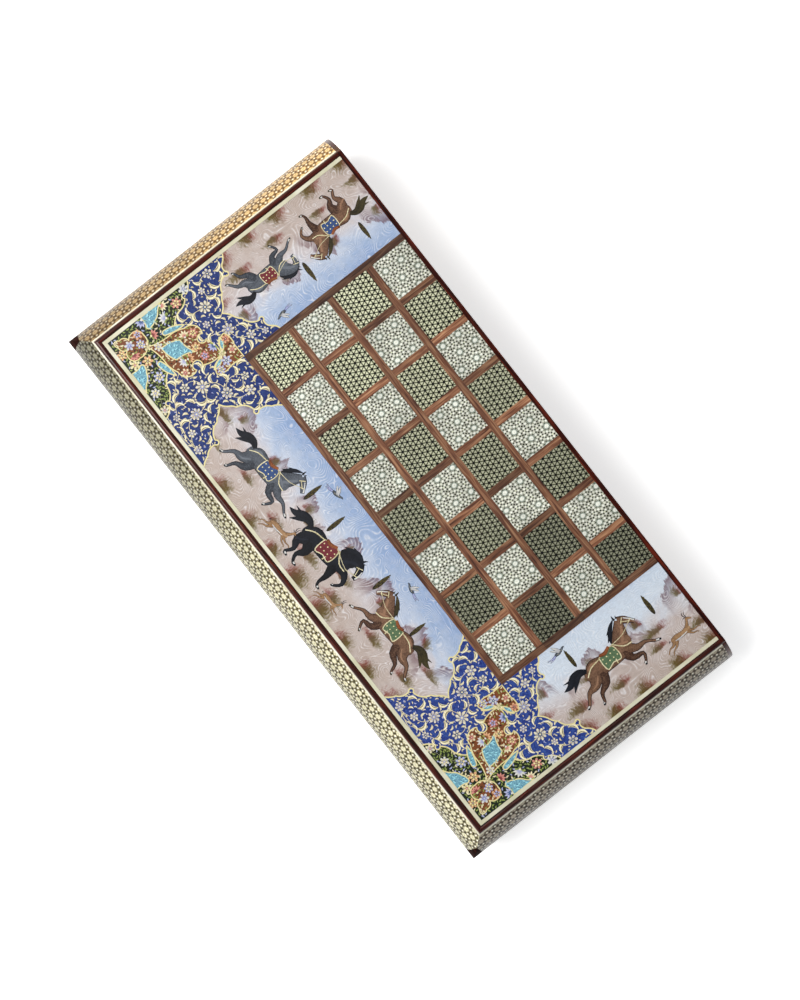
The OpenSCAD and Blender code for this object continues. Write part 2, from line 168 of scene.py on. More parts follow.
# %% World
BRIGHT_WAY = (-0.56, -0.22, 0.8)
DIMMEST, BRIGHTEST, OVERHEAD = 0.08, 0.6, 0.1
CEILING_FROM, CEILING_TO = 0.86, 0.96
world = bpy.data.worlds.new("studio")
world.use_nodes = True
air = world.node_tree
sky = air.nodes["Background"]
sky.inputs["Color"].default_value = (0.94, 0.97, 1.0, 1)
way = put(air, "TexCoord")
leaning = put(air, "VectorMath", way, BRIGHT_WAY, out=1, operation="DOT_PRODUCT")
leaning = put(air, "MapRange", leaning, -0.7, 1, DIMMEST, BRIGHTEST)
upward = put(air, "SeparateXYZ", way, out=2)
ceiling = put(air, "MapRange", upward, CEILING_FROM, CEILING_TO, 1, OVERHEAD)
air.links.new(put(air, "Math", leaning, ceiling, operation="MULTIPLY"), sky.inputs["Strength"])
bpy.context.scene.world = world
bpy.context.scene.view_settings.view_transform = "Standard"
print("world between", DIMMEST, "and", BRIGHTEST, "with", OVERHEAD, "of that overhead")

# %% [markdown]
# ## The floor
# The photograph's ground is white. A large flat grid with the fine grain of pale paper stands for it. It
# glows a little by itself, so that it stays white where the lamps are weak, and it still takes the soft
# shadow of the case.

# %% Floor
FLOOR_SIZE = 2.5
FLOOR_GAP = 0.0003
FLOOR_GLOW = 0.55
floor_form = bmesh.new()
bmesh.ops.create_grid(floor_form, x_segments=4, y_segments=4, size=FLOOR_SIZE,
                      matrix=Matrix.Translation((0, 0, -FLOOR_GAP)))
floor_mesh = bpy.data.meshes.new("floor")
floor_form.to_mesh(floor_mesh)
floor_form.free()
floor = bpy.data.objects.new("floor", floor_mesh)
bpy.context.scene.collection.objects.link(floor)
paper, tree, shader, at = finish("pale floor paper")
grain = put(tree, "TexNoise", at, None, 0.3, 3)
connect(tree, shader, put(tree, "ValToRGB", grain, stops=[(0, 0.95), (1, 0.98)]), 0.85, grain, 0.02)
shader.inputs["Emission Color"].default_value = (1, 1, 1, 1)
shader.inputs["Emission Strength"].default_value = FLOOR_GLOW
floor_mesh.materials.append(paper)
print("floor", 2 * FLOOR_SIZE, "m wide")

# %% [markdown]
# ## Sizes read from the frame
# The patterns have to line up with the tiles and the curve of the bands, so their sizes are measured on
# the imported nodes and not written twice. From here on every length is in millimetres.

# %% Measures
def extent(node, axis):
    """Lowest and highest place of a node along an axis, in millimetres."""
    low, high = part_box(node)
    return low[axis] / MM, high[axis] / MM


TILES_ACROSS = 8
TILES_DEEP = 4
FACE = extent("upper_lattice", 2)[1]
PAINT_TOP = extent("upper_painted_panel", 2)[1]
PAINT_LOW = extent("lower_painted_panel", 2)[0]
PANEL_X = extent("upper_painted_panel", 0)[1]
PANEL_FRONT, PANEL_BACK = extent("upper_painted_panel", 1)
LATTICE_X = extent("upper_lattice", 0)[1]
LATTICE_FRONT = extent("upper_lattice", 1)[0]
tiles_low = min(extent("upper_light_tiles", 0)[0], extent("upper_dark_tiles", 0)[0])
tiles_front = min(extent("upper_light_tiles", 1)[0], extent("upper_dark_tiles", 1)[0])
STRIP = tiles_low + LATTICE_X
PITCH_X = (-2 * tiles_low + STRIP) / TILES_ACROSS
PITCH_Y = (PANEL_BACK - tiles_front + STRIP) / TILES_DEEP
BAND_OUT = extent("upper_front_band", 1)[0]
BAND_RUN = extent("upper_front_band", 1)[1] - BAND_OUT
BAND_LOW, BAND_HIGH = extent("upper_front_band", 2)
CASE_X = extent("upper_hinge_lipping", 0)[1]
print(f"tile pitch {PITCH_X:.2f} x {PITCH_Y:.2f} mm, band {BAND_RUN:.1f} mm wide")

# %% [markdown]
# ## Khatam
# A khatam maker glues rods with a triangular section into a bundle, and saws thin sheets off its end.
# The pattern is therefore a lattice of equal six-sided cells. It is easiest to describe one twelfth of
# a cell: every point is first moved to its nearest cell middle, then folded into a wedge of 30 degrees.
# A dot that is placed in the wedge appears six or twelve times round each cell.

# %% Folding a plane into one wedge of a six-sided cell
SEED_STEP = 0.9
SEED_SHIFT = 0.37


def cell_wedge(tree, along, across, pitch):
    """Wedge coordinates and a random tone of the cell that a point lies in.

    The tone is drawn from the cell's middle, which is snapped to a coarse grid, so that rounding can't
    change it within a cell.
    """
    size = (pitch, pitch * math.sqrt(3), 1)
    half = tuple(s / 2 for s in size)
    back = tuple(-s / 2 for s in size)
    plane = put(tree, "CombineXYZ", along, across, 0.0)
    first = put(tree, "VectorMath", plane, half, back, operation="WRAP")
    moved = put(tree, "VectorMath", plane, half, operation="ADD")
    second = put(tree, "VectorMath", moved, half, back, operation="WRAP")
    near = put(tree, "VectorMath", first, out=1, operation="LENGTH")
    far = put(tree, "VectorMath", second, out=1, operation="LENGTH")
    pick = put(tree, "Math", near, far, operation="LESS_THAN")
    gap = put(tree, "VectorMath", first, second, operation="SUBTRACT")
    own = put(tree, "VectorMath", gap, pick, second, operation="MULTIPLY_ADD")
    radius = put(tree, "Math", near, far, operation="MINIMUM")
    split = put(tree, "SeparateXYZ", own)
    parts = split.node.outputs
    angle = put(tree, "Math", parts[1], parts[0], operation="ARCTAN2")
    turn = put(tree, "Math", angle, math.pi / 6, -math.pi / 6, operation="WRAP")
    fold = put(tree, "Math", turn, operation="ABSOLUTE")
    x = put(tree, "Math", radius, put(tree, "Math", fold, operation="COSINE"), operation="MULTIPLY")
    y = put(tree, "Math", radius, put(tree, "Math", fold, operation="SINE"), operation="MULTIPLY")
    wedge = put(tree, "CombineXYZ", x, y, 0.0)
    middle = put(tree, "VectorMath", plane, own, operation="SUBTRACT")
    seed = put(tree, "VectorMath", middle, (SEED_SHIFT,) * 3, operation="ADD")
    seed = put(tree, "VectorMath", seed, (SEED_STEP,) * 3, operation="SNAP")
    return wedge, put(tree, "TexWhiteNoise", seed)


print("a wedge is", round(math.degrees(math.pi / 6)), "degrees")

# %% [markdown]
# ## A sheet of mosaic
# The rods are cut from bone, wood and brass, so every small triangle has a tone of its own, and each
# cell a little more. The sheet is glued on by hand: its rows wander slightly. The varnish over it is
# rubbed flat, and only a faint relief of the triangles is left.

# %% Dots and chips
CHIP = 0.9
CHIP_CONTRAST = 0.13
DOT_EDGE = 0.13


def dots(tree, ground, wedge, spots):
    """Lays coloured dots on a ground: each is (x, y, radius, colour) in the wedge, in millimetres."""
    for x, y, radius, colour in spots:
        distance = put(tree, "VectorMath", wedge, (x, y, 0), out=1, operation="DISTANCE")
        mask = put(tree, "MapRange", distance, radius - DOT_EDGE, radius + DOT_EDGE, 1.0, 0.0,
                   interpolation_type="SMOOTHSTEP")
        ground = put(tree, "MixRGB", mask, ground, paint(colour))
    return ground


def chips(tree, at, ground):
    """Breaks a colour into the small sawn triangles that the sheet is made of."""
    cells = put(tree, "TexVoronoi", at, None, 1 / CHIP, out=1)
    tone = put(tree, "SeparateColor", cells)
    factor = put(tree, "MapRange", tone, 0, 1, 1 - CHIP_CONTRAST, 1 + CHIP_CONTRAST)
    return put(tree, "VectorMath", ground, factor, operation="MULTIPLY")


print("sawn triangles of", CHIP, "mm")

# %% The finished sheet
WANDER = 1.3
WANDER_SCALE = 0.11
CELL_TONES = (0.88, 1.1)


def khatam(name, along, across, pitch, base, spots, offset=None, own_tone=None, coat=0.3):
    """A varnished mosaic sheet.

    along and across are functions that give a point's place on the sheet. offset moves the sheet and
    own_tone makes it darker or lighter from place to place.
    """
    material, tree, shader, at = finish(name, coat=coat, coat_roughness=0.12, gloss=coat)
    wobble = put(tree, "TexNoise", at, None, WANDER_SCALE, 2, out=1)
    bend = put(tree, "VectorMath", wobble, (0.5, 0.5, 0.5), operation="SUBTRACT")
    place = put(tree, "VectorMath", bend, (WANDER,) * 3, at, operation="MULTIPLY_ADD")
    if offset:
        place = put(tree, "VectorMath", place, offset(tree, at), operation="ADD")
    wedge, tone = cell_wedge(tree, along(tree, place), across(tree, place), pitch)
    ground = put(tree, "ValToRGB", uneven(tree, at, 9, 0, 1), stops=[(0, base[0]), (1, base[1])])
    ground = dots(tree, ground, wedge, spots)
    ground = chips(tree, at, ground)
    shade = put(tree, "MapRange", tone, 0, 1, *CELL_TONES)
    if own_tone:
        shade = put(tree, "Math", shade, own_tone(tree, at), operation="MULTIPLY")
    ground = put(tree, "VectorMath", ground, shade, operation="MULTIPLY")
    relief = put(tree, "TexVoronoi", at, None, 1 / CHIP)
    connect(tree, shader, ground, uneven(tree, at, 14, 0.28, 0.46), relief, 0.02)
    return material


def axis_of(index, stretch=None):
    """A function that gives one coordinate of a place, stretched if the rows lie closer or wider."""
    def measure(tree, at):
        plain = put(tree, "SeparateXYZ", at, out=index)
        return put(tree, "Math", plain, stretch, operation="MULTIPLY") if stretch else plain
    return measure


print("a cell is between", CELL_TONES[0], "and", CELL_TONES[1], "times as bright as its sheet")

# %% [markdown]
# ## Light and dark squares
# The light squares show bone discs ringed by dark dots, with pinwheels where three cells meet. The dark
# ones show small ebony stars between bone triangles. The cells of the light sheet are a little narrower
# than true six-sided ones, and those of the dark sheet a little deeper. Every square is cut from its
# sheet at another place, so a random offset is worked out for each square.

# %% Squares of the chess field
ANY_HEIGHT = 1000
SHEET_SHIFT = 26


def square_number(tree, at):
    """Which square a point lies in, as a whole-number vector, whatever its height."""
    shift = put(tree, "VectorMath", at, (LATTICE_X, -tiles_front, 0), operation="ADD")
    ratio = put(tree, "VectorMath", shift, (PITCH_X, PITCH_Y, ANY_HEIGHT), operation="DIVIDE")
    return put(tree, "VectorMath", ratio, operation="FLOOR")


def sheet_offset(tree, at):
    """Where on the sheet the square of a point was cut."""
    random_place = put(tree, "TexWhiteNoise", square_number(tree, at), out=1)
    return put(tree, "VectorMath", random_place, (SHEET_SHIFT, SHEET_SHIFT, 0), operation="MULTIPLY")


print("squares:", TILES_ACROSS, "by", TILES_DEEP)

# %% The light sheet
DISC = 14.4
LIGHT_STRETCH = 1.12
corner_x, corner_y = DISC / 2, DISC / 2 / math.sqrt(3)
BONE, EBONY = "#F6F7EC", "#1D2118"
light_mosaic = khatam(
    "khatam sheet, mostly bone", axis_of(1), axis_of(0, LIGHT_STRETCH), DISC, ("#A7A896", "#C2C2B2"),
    [(0, 0, 2.45, "#95A396"), (0, 0, 1.8, BONE), (0, 0, 0.4, "#DCE2D6"), (2.55, 1.47, 0.56, "#343A2E"),
     (3.0, 0, 0.42, "#6A7464"), (4.3, 0, 1.0, BONE), (4.35, 2.5, 0.95, "#E2E4D4"), (5.6, 1.35, 0.66, EBONY),
     (corner_x, 0, 0.7, EBONY), (corner_x, 2.3, 0.85, BONE), (corner_x - 1.05, corner_y - 0.6, 0.66, EBONY),
     (corner_x, corner_y, 0.85, "#D9DCC2"), (3.6, 1.1, 0.4, "#848E7A")],
    offset=sheet_offset)
print(light_mosaic.name, "with discs every", DISC, "mm")

# %% The dark sheet
LEFT_TONE, RIGHT_TONE = 0.94, 0.28


def square_tone_and_shade(tree, at):
    """The dark squares were cut from several sheets, and a painted shade makes them darker towards the right.
    """
    number = square_number(tree, at)
    side = put(tree, "SeparateXYZ", number, out=0)
    own = put(tree, "MapRange", put(tree, "TexWhiteNoise", number), 0, 1, *CELL_TONES)
    # A painted shade: the squares grow steadily darker from left to right.
    painted_shade_to_right = put(tree, "MapRange", side, 0, TILES_ACROSS - 1, LEFT_TONE, RIGHT_TONE)
    return put(tree, "Math", painted_shade_to_right, own, operation="MULTIPLY")


CELL = 3.76
DARK_STRETCH = 0.885
edge_x, edge_y = CELL / 2, CELL / 2 / math.sqrt(3)
dark_mosaic = khatam(
    "khatam sheet, bone and ebony", axis_of(0), axis_of(1, DARK_STRETCH), CELL, ("#7E8460", "#9A9F78"),
    [(0, 0, 1.5, "#D4D8AA"), (0, 0, 1.1, "#030402"), (1.12, 0, 0.4, "#030402"), (1.1, 0.63, 0.28, "#F0F2CA"),
     (edge_x, edge_y, 0.6, "#FFFFE0"), (edge_x, 0, 0.28, "#34382A")],
    offset=sheet_offset, own_tone=square_tone_and_shade)
print(dark_mosaic.name, "with stars every", CELL, "mm")

# %% [markdown]
# ## Curved bands
# On the bands the sheet is bent over the side of the case. Seen from above its rows crowd together
# towards the outline. The pattern has to follow the curve, so the distance across the sheet is an angle
# round the middle of the curve times its radius, and not a coordinate. The end bands are the same sheet
# in other colours: warmer on the left, as painted warm light, and darker and greyer on the right, as
# painted shade. Each band's tone also changes along its length and falls near the rim, a painted shade.

# %% Distance over the curve
BAND_RADIUS = 42
rise = BAND_HIGH - BAND_LOW
chord = math.hypot(BAND_RUN, rise)
sag = math.sqrt(BAND_RADIUS ** 2 - chord ** 2 / 4)
CURVE_IN = BAND_RUN / 2 + sag * rise / chord
CURVE_DOWN = rise / 2 - sag * BAND_RUN / chord
STAR = 7.6


def arc_across(axis, outline):
    """Distance over the curve from the rim, for a band whose outline lies at a place on an axis."""
    def measure(tree, at):
        parts = put(tree, "SeparateXYZ", at).node.outputs
        inward = put(tree, "Math", parts[axis], outline, operation="SUBTRACT")
        inward = put(tree, "Math", inward, operation="ABSOLUTE")
        inward = put(tree, "Math", CURVE_IN, inward, operation="SUBTRACT")
        above = put(tree, "Math", parts[2], FACE / 2, operation="SUBTRACT")
        above = put(tree, "Math", above, operation="ABSOLUTE")
        above = put(tree, "Math", above, CURVE_DOWN + BAND_LOW - FACE / 2, operation="SUBTRACT")
        angle = put(tree, "Math", above, inward, operation="ARCTAN2")
        return put(tree, "Math", angle, BAND_RADIUS, operation="MULTIPLY")
    return measure


print(f"the curve's middle lies {CURVE_IN:.1f} mm in from the outline")

# %% Stars and painted shade
BELLY_LOW, BELLY_HIGH = 6, 22


def band_spots(flower="#CDC7A2", speck="#EEEAD3", dark="#2E2917", bone="#F4F1E0"):
    """One star in the wedge."""
    half, third = STAR / 2, STAR / 2 / math.sqrt(3)
    return [(0, 0, 2.35, flower), (1.55, 0, 0.32, "#A39C74"), (1.2, 0.69, 0.45, speck),
            (0, 0, 0.55, "#B5A973"), (half - 0.7, 0, 0.76, dark), (half, 0, 0.5, dark),
            (half - 0.1, third, 0.72, bone), (2.7, 1.56, 0.4, "#6E6747")]


def painted_band_shade(axis, steps, belly=0.66):
    """Painted shade: the band is darker towards the front left corner, and on the belly near the rim.

    steps are (place, tone) pairs along the band, and belly is the tone near the rim.
    """
    def tone(tree, at):
        parts = put(tree, "SeparateXYZ", at).node.outputs
        climb = put(tree, "Math", parts[2], FACE / 2, operation="SUBTRACT")
        climb = put(tree, "Math", climb, operation="ABSOLUTE")
        made = put(tree, "MapRange", climb, BELLY_LOW, BELLY_HIGH, belly, 1.0)
        for (start, low), (end, high) in zip(steps, steps[1:]):
            step = put(tree, "MapRange", parts[axis], start, end, low / high, 1.0)
            made = put(tree, "Math", step, made, operation="MULTIPLY")
        return put(tree, "Math", made, steps[-1][1], operation="MULTIPLY")
    return tone


print("stars along the front band:", round(2 * CASE_X / STAR))

# %% The three bands
# The front band's darkening towards the left corner is a painted shadow.
front_band = khatam("khatam sheet with pale stars", axis_of(0), arc_across(1, BAND_OUT), STAR,
                    ("#857B5B", "#9C9170"), band_spots(), coat=0.1,
                    own_tone=painted_band_shade(0, [(-235, 0.36), (-120, 0.64), (-20, 1.08), (225, 1.14)]))
# The left end's warm colours and its rise in tone towards the hinge are painted warm light.
left_band = khatam("khatam sheet with pale stars, left end", axis_of(1), arc_across(0, -CASE_X), STAR,
                   ("#8A6B40", "#A3845A"), band_spots("#C9A266", "#E6CC9C", "#5A4020", "#F6E6C4"), coat=0.1,
                   own_tone=painted_band_shade(1, [(-115, 0.5), (20, 1.04), (115, 1.42)]))
# The right end's darker, greyer colours and its darker rim are painted shade.
right_band = khatam("khatam sheet with pale stars, right end", axis_of(1), arc_across(0, CASE_X), STAR,
                    ("#6E6153", "#837565"), band_spots("#A39686", "#C3B9AA", "#332C22"), coat=0.1,
                    own_tone=painted_band_shade(1, [(-125, 1.04), (125, 1.0)], belly=0.5))
print("bands:", front_band.name, "/", left_band.name, "/", right_band.name)

# %% [markdown]
# ## Wood
# Wood grain is a noise that is stretched along the grain, with fine dark pores on top. The only change
# from one wood to the next is its colours, the direction of the grain and how much varnish it carries.
# ring is the width of its growth rings in millimetres.

# %% One wood
DRAWN_OUT = 0.07
PORES_DRAWN_OUT = 0.035


def wood(name, lay, colours, ring, coat, roughness, tone=None, gloss=0.35):
    """A wood whose grain runs along the first axis of the vector that lay gives."""
    material, tree, shader, at = finish(name, coat=coat, coat_roughness=0.14, gloss=gloss)
    place = lay(tree, at)
    drawn = put(tree, "VectorMath", place, (DRAWN_OUT, 1, 1), operation="MULTIPLY")
    figure = put(tree, "TexNoise", drawn, None, 1 / ring, 4, named={"Distortion": 0.7})
    colour = put(tree, "ValToRGB", put(tree, "MapRange", figure, 0.28, 0.72, 0, 1),
                 stops=[(0.08, colours[0]), (0.45, colours[1]), (0.92, colours[2])])
    thread = put(tree, "VectorMath", place, (PORES_DRAWN_OUT, 1, 1), operation="MULTIPLY")
    pores = put(tree, "TexNoise", thread, None, 2.2, 2)
    dark = put(tree, "MapRange", pores, 0.56, 0.72, 0, 0.6)
    colour = put(tree, "MixRGB", dark, colour, paint(colours[0]))
    patch = uneven(tree, at, 38, 0.84, 1.14)
    if tone:
        patch = put(tree, "Math", patch, tone(tree, at), operation="MULTIPLY")
    colour = put(tree, "VectorMath", colour, patch, operation="MULTIPLY")
    connect(tree, shader, colour, uneven(tree, at, 11, *roughness), pores, 0.03)
    return material


def along_x(tree, at):
    """A board that lies along the front."""
    return at


def along_y(tree, at):
    """A board that lies along an end."""
    parts = put(tree, "SeparateXYZ", at).node.outputs
    return put(tree, "CombineXYZ", parts[1], parts[0], parts[2])


print("grain is drawn out", round(1 / DRAWN_OUT), "times")

# %% [markdown]
# ## The lattice
# The squares lie in a lattice of walnut strips. All its strips are one node, so the material has to find
# out for each point whether its strip runs along X or along Y, to lay the grain that way. The strips were
# cut from several boards, so each has a brightness of its own. The two at the ends are the darkest.

# %% Walnut strips
STRIP_TONES = (0.5, 1.4)
END_STRIP_TONE = 0.5


def strip_mask(tree, at):
    """One where a lattice strip runs along X, and nought where it runs along Y."""
    shift = put(tree, "VectorMath", at, (0, -tiles_front, 0), operation="ADD")
    parts = put(tree, "SeparateXYZ", shift).node.outputs
    step = put(tree, "Math", parts[1], PITCH_Y, 0.0, operation="WRAP")
    lying = put(tree, "Math", step, PITCH_Y - STRIP, operation="GREATER_THAN")
    side = put(tree, "Math", parts[0], operation="ABSOLUTE")
    inside = put(tree, "Math", side, -tiles_low, operation="LESS_THAN")
    return put(tree, "Math", lying, inside, operation="MULTIPLY")


def strip_grain(tree, at):
    """A place turned so that its first axis runs along its strip."""
    return put(tree, "Mix", strip_mask(tree, at), named={4: along_y(tree, at), 5: at}, out=1,
               data_type="VECTOR")


def strip_tone(tree, at):
    """The brightness of the board that a strip was cut from."""
    number = square_number(tree, at)
    keep = put(tree, "Mix", strip_mask(tree, at), named={4: (1, 1, 1), 5: (0, 1, 0)}, out=1,
               data_type="VECTOR")
    own = put(tree, "TexWhiteNoise", put(tree, "VectorMath", number, keep, operation="MULTIPLY"))
    own = put(tree, "MapRange", own, 0, 1, *STRIP_TONES)
    side = put(tree, "Math", put(tree, "SeparateXYZ", at, out=0), operation="ABSOLUTE")
    edge = put(tree, "Math", side, LATTICE_X - STRIP, operation="GREATER_THAN")
    return put(tree, "Math", own, put(tree, "MapRange", edge, 0, 1, 1, END_STRIP_TONE), operation="MULTIPLY")


walnut_strip = wood("walnut strips, oiled", strip_grain, ("#46261A", "#81523A", "#B48663"), ring=1.6,
                    coat=0.1, roughness=(0.42, 0.6), tone=strip_tone)
print(walnut_strip.name, f"{STRIP:.1f} mm wide")

# %% [markdown]
# ## Beads, rails and boards
# The beads and the lipping are rosewood, nearly black and polished, and their grain follows their
# length, so the same wood is made once for the front and once for the ends. The corner blocks are cut
# from it too, but only rubbed, and take no shine; their colours are darker than the bead's, a painted
# shade. The rails inside are walnut, the field is walnut veneer and the boards that close the trays are
# beech.

# %% The other woods
ROSEWOOD = ("#170403", "#3A0F07", "#642010")
WALNUT = ("#4A2A1B", "#7A4C31", "#9B6A47")
sides = (("front", along_x), ("ends", along_y))
rosewood_x, rosewood_y = [
    wood(f"rosewood bead, polished, grain along the {side}", lay, ROSEWOOD, ring=1.8, coat=0.3,
         roughness=(0.26, 0.4), gloss=0.2) for side, lay in sides]
walnut_x, walnut_y = [
    wood(f"walnut rail, oiled, along the {side}", lay, WALNUT, ring=4, coat=0.08,
         roughness=(0.45, 0.62)) for side, lay in sides]
# The corner block's darker colours are painted shade.
shaded_rosewood_block = wood("rosewood corner block, rubbed", along_x, ("#100403", "#240C08", "#3A160F"), ring=1.6,
                      coat=0.0, roughness=(0.6, 0.72), gloss=0.01)
walnut_veneer = wood("walnut veneer of the field, varnished", along_x, ("#3E2214", "#6B3E25", "#8F5C3A"),
                     ring=6, coat=0.35, roughness=(0.3, 0.42))
base_wood = wood("beech board, sealed", along_x, ("#A37B55", "#C29A70", "#D3AF87"), ring=5, coat=0.05,
                 roughness=(0.5, 0.64))
print("woods:", rosewood_x.name, "/", walnut_x.name, "/", base_wood.name)

# %% [markdown]
# ## Lines of bone and holly
# Thin pale lines part the band from the bead and the bead from the painting. The outer one is bone, which
# polishes bright and stains yellow in places, and the inner one is holly, a wood that is nearly white. At
# their width no grain shows, only the stains and a trace of relief.

# %% Bone and cream lines
def line(name, colours, roughness):
    """A thin inlaid line with slight stains along it."""
    material, tree, shader, at = finish(name, coat=0.25, coat_roughness=0.12)
    stain = uneven(tree, at, 17, 0, 1, detail=4)
    colour = put(tree, "ValToRGB", stain, stops=[(0, colours[0]), (0.5, colours[1]), (1, colours[2])])
    fine = put(tree, "TexNoise", at, None, 1.4, 2)
    connect(tree, shader, colour, uneven(tree, at, 9, *roughness), fine, 0.02)
    return material


bone = line("bone line, polished", ("#D8D2B6", "#ECE8D2", "#F5F2E2"), (0.25, 0.4))
cream = line("cream holly line, varnished", ("#D2CEAC", "#E0DCC0", "#EFECD8"), (0.3, 0.45))
print("lines:", bone.name, "/", cream.name)

# %% [markdown]
# ## Hinges
# The hinge leaves are rolled brass, so their scratches are drawn out along the leaf. The screws are turned
# from brass, and the pin is drawn steel. All are fully metallic and keep the shader's own IOR, and
# tarnish shows as soft patches of a duller tone.

# %% Brass and steel
def metal(name, colours, roughness, stretch):
    """A metal with fine drawn scratches and slightly tarnished patches."""
    material, tree, shader, at = finish(name, metallic=1.0)
    patch = uneven(tree, at, 5, 0, 1, detail=4)
    colour = put(tree, "ValToRGB", patch, stops=[(0, colours[0]), (1, colours[1])])
    drawn = put(tree, "VectorMath", at, stretch, operation="MULTIPLY")
    scratch = put(tree, "TexNoise", drawn, None, 2.5, 3)
    connect(tree, shader, colour, put(tree, "MapRange", scratch, 0.3, 0.7, *roughness), scratch, 0.01)
    return material


hinge_brass = metal("hinge brass, rolled", ("#A98742", "#D5B568"), (0.24, 0.42), (0.1, 1, 1))
screw_brass = metal("screw brass, turned", ("#A07C38", "#DDBE74"), (0.2, 0.36), (1, 1, 1))
pin_steel = metal("hinge pin steel, drawn", ("#8C8C8A", "#B5B5B2"), (0.2, 0.34), (0.08, 1, 1))
print("metals:", hinge_brass.name, "/", screw_brass.name, "/", pin_steel.name)

# %% [markdown]
# ## Mosaic inside the trays
# The photograph doesn't show the inside. Such cases have points of pale and dark mosaic there and a
# narrow mosaic strip along the rim, in the same technique as outside. The rim sheet is only as wide as
# the wall, so X and Y together are enough for it.

# %% Points and rim
POINT_CELL = 6.4
RIM_CELL = 5.2
maple_points = khatam("khatam point, mostly maple", axis_of(1), axis_of(0), POINT_CELL,
                      ("#CDB98C", "#DCCBA2"),
                      [(0, 0, 1.1, "#F3EFDC"), (1.7, 0.98, 0.5, "#4A2E1C"), (2.3, 0, 0.45, "#B98A3E"),
                       (3.2, 1.85, 0.5, "#2C5A3C")])
ebony_points = khatam("khatam point, mostly ebony", axis_of(1), axis_of(0), POINT_CELL,
                      ("#2C2118", "#3A2C20"),
                      [(0, 0, 1.1, "#B98A3E"), (1.7, 0.98, 0.5, "#E9E3CC"), (2.3, 0, 0.45, "#6E2A1A"),
                       (3.2, 1.85, 0.5, "#E9E3CC")])
rim_mosaic = khatam("khatam strip of the rim", axis_of(0), axis_of(1), RIM_CELL, ("#B9A678", "#CBBB90"),
                    [(0, 0, 1.2, "#EFE9D0"), (1.9, 0.5, 0.45, "#2E241A"), (2.6, 1.5, 0.5, "#8C3A22")])
print("inside:", maple_points.name, "/", ebony_points.name, "/", rim_mosaic.name)

# %% [markdown]
# ## Painted ground
# The border is painted on a gesso ground. Its blue is ultramarine with slightly lighter brush marks, and
# it is paler towards the right. A pigment has a dark and a light tone: each stroke of the painting
# carries a value called shade that says where between the two it lies, and a fine noise stands for the
# brush.

# %% Gouache and ultramarine
BRUSH_MARKS = 0.25
WORN_FROM, WORN_TO, WORN_TONE = -50, 150, 1.55


def gouache(name, dark, light):
    """A painted colour between two tones, ruled by the shade that the strokes carry."""
    material, tree, shader, at = finish(name, coat=0.2, coat_roughness=0.2, gloss=0.25)
    shade = put(tree, "Attribute", out=2, attribute_name="shade")
    marks = put(tree, "TexNoise", at, None, 1.1, 3)
    marks = put(tree, "MapRange", marks, 0.3, 0.7, -BRUSH_MARKS, BRUSH_MARKS)
    tone = put(tree, "Math", shade, marks, operation="ADD", use_clamp=True)
    colour = put(tree, "ValToRGB", tone, stops=[(0, dark), (1, light)])
    connect(tree, shader, colour, uneven(tree, at, 12, 0.38, 0.56), marks, 0.02)
    return material


def ultramarine_ground():
    """The blue that lies under the gold, worn paler on the right."""
    material, tree, shader, at = finish("ultramarine ground, burnished", coat=0.2, coat_roughness=0.2,
                                        gloss=0.25)
    marks = put(tree, "TexNoise", at, None, 0.5, 4, named={"Distortion": 1.2})
    colour = put(tree, "ValToRGB", put(tree, "MapRange", marks, 0.3, 0.7, 0, 1),
                 stops=[(0, "#16225C"), (0.5, "#213474"), (1, "#324C88")])
    side = put(tree, "SeparateXYZ", at, out=0)
    worn = put(tree, "MapRange", side, WORN_FROM, WORN_TO, 1.0, WORN_TONE)
    colour = put(tree, "VectorMath", colour, worn, operation="MULTIPLY")
    connect(tree, shader, colour, uneven(tree, at, 12, 0.4, 0.55), marks, 0.02)
    return material


blue_ground = ultramarine_ground()
print("ground:", blue_ground.name)

# %% Pigments
PIGMENTS = {
    "gold": gouache("gold ochre, brushed", "#A0905A", "#FFF6D0"),
    "cream": gouache("cream outline, brushed", "#DCCB7C", "#F4EBB8"),
    "black": gouache("blue black, brushed", "#05060D", "#20242F"),
    "green black": gouache("black green corner ground", "#0C140E", "#1F2A1A"),
    "leaf green": gouache("leaf green, brushed", "#4C6B33", "#A9B45E"),
    "turquoise": gouache("turquoise, washed", "#155F86", "#A8E4F0"),
    "russet": gouache("russet ground, washed", "#48220F", "#A05C34"),
    "rose": gouache("rose, brushed", "#9C463C", "#EBA596"),
    "peach": gouache("peach, brushed", "#B0683A", "#F2C394"),
    "lilac": gouache("lilac, brushed", "#6F78B8", "#C9CCE8"),
    "white": gouache("lead white, brushed", "#A3A6B4", "#EDEBE2"),
    "chestnut": gouache("chestnut brown, brushed", "#40281D", "#9C765C"),
    "grey": gouache("slate grey, brushed", "#33373F", "#727882"),
    "red": gouache("madder red, brushed", "#5C1A22", "#96444A"),
    "blue": gouache("azure blue, brushed", "#243A68", "#546FA4"),
    "sage": gouache("sage green, brushed", "#3E5740", "#80996F"),
    "olive": gouache("olive, brushed", "#4E441E", "#7A6A34"),
    "umber": gouache("umber green, brushed", "#1E1A0E", "#4E4426"),
    "fawn": gouache("fawn, brushed", "#7C5A3C", "#C09A72"),
}
PIGMENT_NAMES = list(PIGMENTS)
print(len(PIGMENTS), "pigments")

# %% [markdown]
# ## Dressing the frame
# Each node of the frame now gets its finish. A node keeps its shape and its place. Both halves are made
# alike, so one table serves them.

